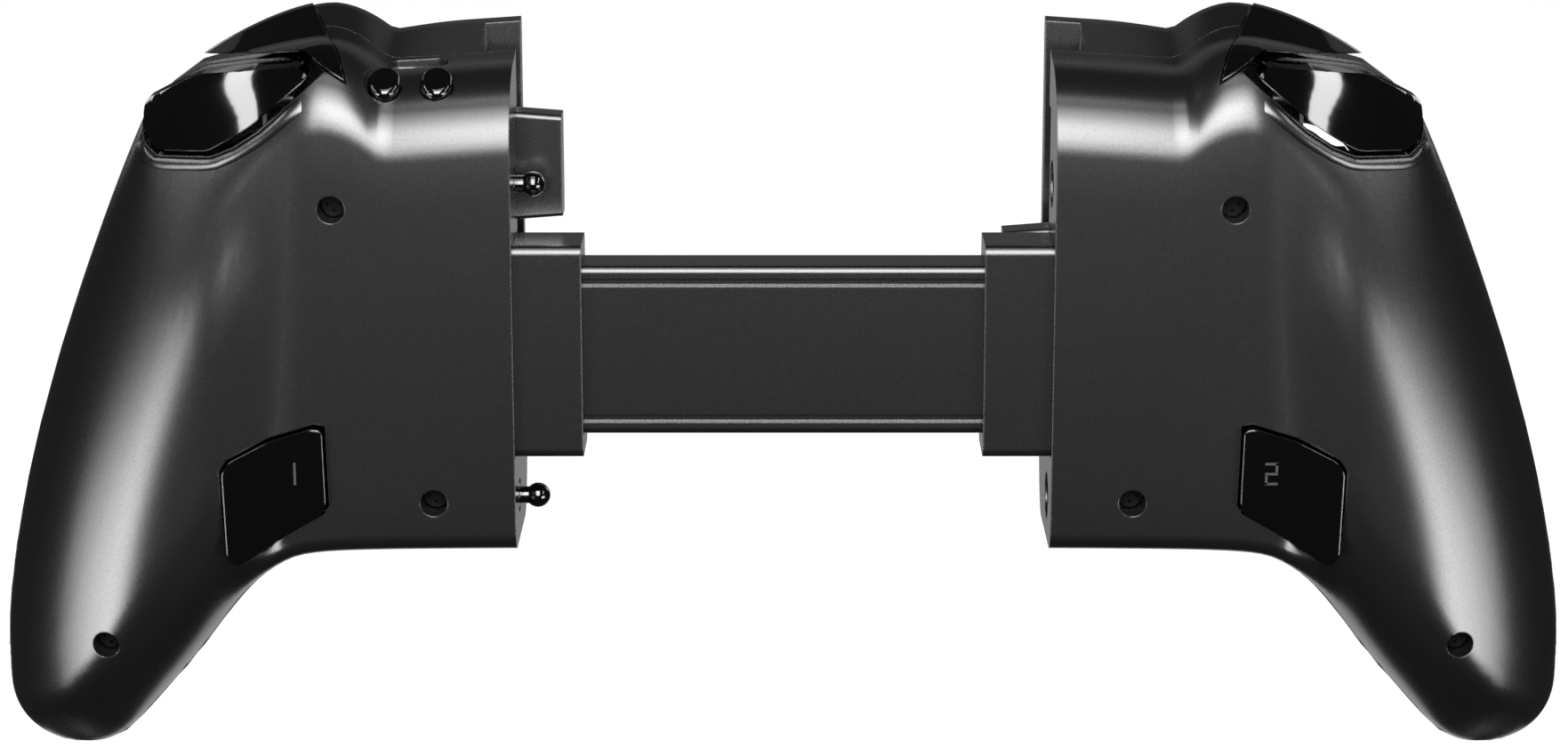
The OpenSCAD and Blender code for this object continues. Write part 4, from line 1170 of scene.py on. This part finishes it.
@dataclass
class ShoulderButtons:
    """The two domed pill buttons on the right half's shoulder."""

    plan: HalfPlan
    finishes: Finishes
    dome_size: Pair = (4.8, 6.2)
    foot_size: Pair = (5.9, 7.3)
    dome_round: float = 0.9

    def build(self) -> None:
        """Builds both buttons, each a dome on a wider foot."""
        for name, u in zip(("pair_button", "lock_button"), self.plan.pills):
            dome = self.plan.pill_maker(f"{name}_dome", u, self.dome_size, -3.4, 0.6, self.dome_round)
            foot = self.plan.pill_maker(f"{name}_foot", u, self.foot_size, -4, -3.1)
            dome = carve(dome.placed(), [foot.placed()], "UNION")
            smooth(dome, self.plan.side, 40)
            hand_over(dome, name, "gloss", self.finishes.gloss, name)


@dataclass(frozen=True)
class Softbox:
    """A rectangular studio lamp."""

    name: str
    at: Point
    aim: Point
    size: Pair
    watts: float
    along: Point = (0.0, 0.0, 1.0)

    def hang(self) -> None:
        """Hangs the lamp, points it at its aim and turns its second size along its own direction."""
        data = bpy.data.lights.new(self.name, "AREA")
        data.shape = "RECTANGLE"
        data.size, data.size_y = self.size
        data.energy = self.watts
        lamp = bpy.data.objects.new(self.name, data)
        lamp.location = self.at
        lamp.visible_camera = False
        back = (Vector(self.at) - Vector(self.aim)).normalized()
        across = Vector(self.along).cross(back).normalized()
        turn = Matrix((across, back.cross(across), back)).transposed()
        lamp.rotation_euler = turn.to_euler()
        bpy.context.scene.collection.objects.link(lamp)


@dataclass
class Studio:
    """Camera, lamps, white surroundings and a pale floor.

    Lamps hang at one reach from the controller. The arch holds pairs of height angle and watts, the wings
    pairs of angle from the camera's side and watts, and the lamps in front also their height and size.
    """

    reach: float = 0.8
    arch: Pairs = (
        (9, 1.0), (19, 1.5), (28, 1.45), (36, 1.4), (44, 1.05), (52, 0.65), (60, 0.45), (75, 0.33))
    arch_size: Pair = (0.42, 0.116)
    wings: Pairs = ((35, 0.9), (44, 0.67), (53, 0.5), (62, 0.27))
    wing_height: float = -15.0
    wing_size: Pair = (0.14, 0.28)
    grip_x: float = 0.09
    tube_ends: tuple[Pair, Pair] = ((45.0, 15.0), (97.0, 51.0))
    tube_watts: float = 1.0
    tube_width: float = 0.07
    trigger_x: float = 0.088
    trigger_z: float = 0.036
    front: tuple[tuple[str, float, float, Pair, float], ...] = (
        ("backdrop", 180.0, 26.0, (1.2, 0.5), 0.16),
        ("front_fill", 180.0, -14.0, (1.0, 0.4), 0.35),
        ("front_low", 180.0, -42.0, (0.8, 0.3), 0.4),
        ("front_side_-1", -138.0, 16.0, (0.3, 0.3), 0.4),
        ("front_side_1", 138.0, 16.0, (0.3, 0.3), 0.4))
    lens: float = 85.0
    sensor: float = 36.0
    eye: Point = (0.00014, -0.5655, 0.1358)
    pitch: float = 75.86
    dim: float = 0.02
    floor_half: float = 0.45
    floor_gap: float = 0.0005
    floor_glow: float = 0.94
    floor_grey: float = 0.3

    def lamps(self) -> list[Softbox]:
        """Every lamp.

        Returns:
            An arch of softboxes over the camera, a low wing of them at each side, a slanting tube for the
            highlight on each trigger, and weaker lamps that light the side with the sticks.
        """
        middle = (0.0, 0.0, 0.0)
        found = [Softbox(f"arch_{height}", self._spot(0.0, height), middle, self.arch_size, watts)
                 for height, watts in self.arch]
        for angle, watts in self.wings:
            x, y, z = self._spot(angle, self.wing_height)
            for sign in (-1, 1):
                found.append(Softbox(f"wing_{sign * angle}", (sign * (x + self.grip_x), y, z),
                                     (sign * self.grip_x, 0.0, -0.01), self.wing_size, watts))
        found += [self._tube(sign) for sign in (-1, 1)]
        found += [Softbox(name, self._spot(angle, height), middle, size, watts)
                  for name, angle, height, size, watts in self.front]
        return found

    def _tube(self, sign: int) -> Softbox:
        """The slanting tube lamp of one side, between two spots seen from that side's trigger.

        Args:
            sign: -1 for one side, 1 for the other.

        Returns:
            The lamp.
        """
        a, b = (Vector((sign * (x + self.trigger_x), y, z + self.trigger_z))
                for x, y, z in (self._spot(*end) for end in self.tube_ends))
        return Softbox(f"tube_{sign}", tuple((a + b) / 2), (sign * self.trigger_x, 0.0, self.trigger_z),
                       (self.tube_width, (b - a).length), self.tube_watts, tuple(b - a))

    def _spot(self, angle: float, height: float) -> Point:
        """A place at the lamps' reach, by its angle from the camera's side and its height angle."""
        a, h = math.radians(angle), math.radians(height)
        return (self.reach * math.sin(a) * math.cos(h), -self.reach * math.cos(a) * math.cos(h),
                self.reach * math.sin(h))

    def build(self) -> None:
        """Sets up the studio."""
        self._camera()
        for lamp in self.lamps():
            lamp.hang()
        self._surroundings()
        self._floor()

    def _camera(self) -> None:
        """The photograph's viewpoint: behind the controller, looking down a little."""
        data = bpy.data.cameras.new("photo_camera")
        data.lens = self.lens
        data.sensor_width = self.sensor
        camera = bpy.data.objects.new("photo_camera", data)
        camera.location = self.eye
        camera.rotation_euler = (math.radians(self.pitch), 0, 0)
        bpy.context.scene.collection.objects.link(camera)
        bpy.context.scene.camera = camera

    def _surroundings(self) -> None:
        """White to the camera and a dim grey to everything else."""
        world = bpy.data.worlds.new("surroundings")
        bpy.context.scene.world = world
        world.use_nodes = True
        tree = world.node_tree
        dim, white = tree.nodes["Background"], tree.nodes.new("ShaderNodeBackground")
        for node, strength in ((dim, self.dim), (white, 1.0)):
            node.inputs["Color"].default_value = (1, 1, 1, 1)
            node.inputs["Strength"].default_value = strength
        path = tree.nodes.new("ShaderNodeLightPath")
        seen = self._blend(tree, path.outputs["Is Camera Ray"], dim.outputs["Background"],
                           white.outputs["Background"])
        tree.links.new(seen, tree.nodes["World Output"].inputs["Surface"])

    @staticmethod
    def _blend(tree: bpy.types.NodeTree, share: bpy.types.NodeSocket, first: bpy.types.NodeSocket,
               second: bpy.types.NodeSocket) -> bpy.types.NodeSocket:
        """Mixes two shaders by a share.

        Args:
            tree: The nodes.
            share: The share of the second.
            first: The first shader.
            second: The second shader.

        Returns:
            The mixed shader.
        """
        blend = tree.nodes.new("ShaderNodeMixShader")
        for source, target in zip((share, first, second), blend.inputs):
            tree.links.new(source, target)
        return blend.outputs["Shader"]

    def _floor(self) -> None:
        """A floor at the controller's lowest point, white with a faint shadow and clear from below."""
        bm = bmesh.new()
        bmesh.ops.create_grid(bm, x_segments=1, y_segments=1, size=self.floor_half)
        bmesh.ops.translate(bm, verts=bm.verts, vec=(0, 0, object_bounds()[0][2] - self.floor_gap))
        mesh = bpy.data.meshes.new("pale_floor")
        bm.to_mesh(mesh)
        bm.free()
        floor = bpy.data.objects.new("pale_floor", mesh)
        bpy.context.scene.collection.objects.link(floor)
        floor.visible_glossy = False
        floor.visible_diffuse = False
        floor.visible_shadow = False
        Finishes.put(floor, self._floor_finish())
        floor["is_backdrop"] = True

    def _floor_finish(self) -> bpy.types.Material:
        """A glow over a matt grey for the camera, the grey alone for other rays, nothing from below.

        Returns:
            The material.
        """
        made = bpy.data.materials.new("pale_floor")
        made.use_nodes = True
        tree = made.node_tree
        glow = tree.nodes.new("ShaderNodeEmission")
        glow.inputs["Strength"].default_value = self.floor_glow
        matt = tree.nodes.new("ShaderNodeBsdfDiffuse")
        matt.inputs["Color"].default_value = (self.floor_grey, self.floor_grey, self.floor_grey, 1)
        both = tree.nodes.new("ShaderNodeAddShader")
        tree.links.new(glow.outputs["Emission"], both.inputs[0])
        tree.links.new(matt.outputs["BSDF"], both.inputs[1])
        path = tree.nodes.new("ShaderNodeLightPath")
        back = tree.nodes.new("ShaderNodeNewGeometry")
        clear = tree.nodes.new("ShaderNodeBsdfTransparent")
        above = self._blend(tree, path.outputs["Is Camera Ray"], matt.outputs["BSDF"],
                            both.outputs["Shader"])
        found = self._blend(tree, back.outputs["Backfacing"], above, clear.outputs["BSDF"])
        tree.links.new(found, tree.nodes["Material Output"].inputs["Surface"])
        return made


def corners(found: tuple) -> list[list[float]]:
    """Two corners as plain lists."""
    return [[float(c) for c in corner] for corner in found]


def main() -> None:
    """Builds the controller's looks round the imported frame."""
    logging.basicConfig(level=logging.INFO, format="%(message)s")
    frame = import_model()
    bpy.context.scene.view_settings.view_transform = "Standard"
    finishes = Finishes()
    finishes.dress_frame(frame)
    for side in Side:
        plan = HalfPlan(side)
        Shells(plan, finishes).build()
        TopControls(plan, finishes).build()
        BackPaddle(plan, finishes).build()
        if side is Side.RIGHT:
            ShoulderButtons(plan, finishes).build()
    Studio().build()


if __name__ == "__main__":
    main()
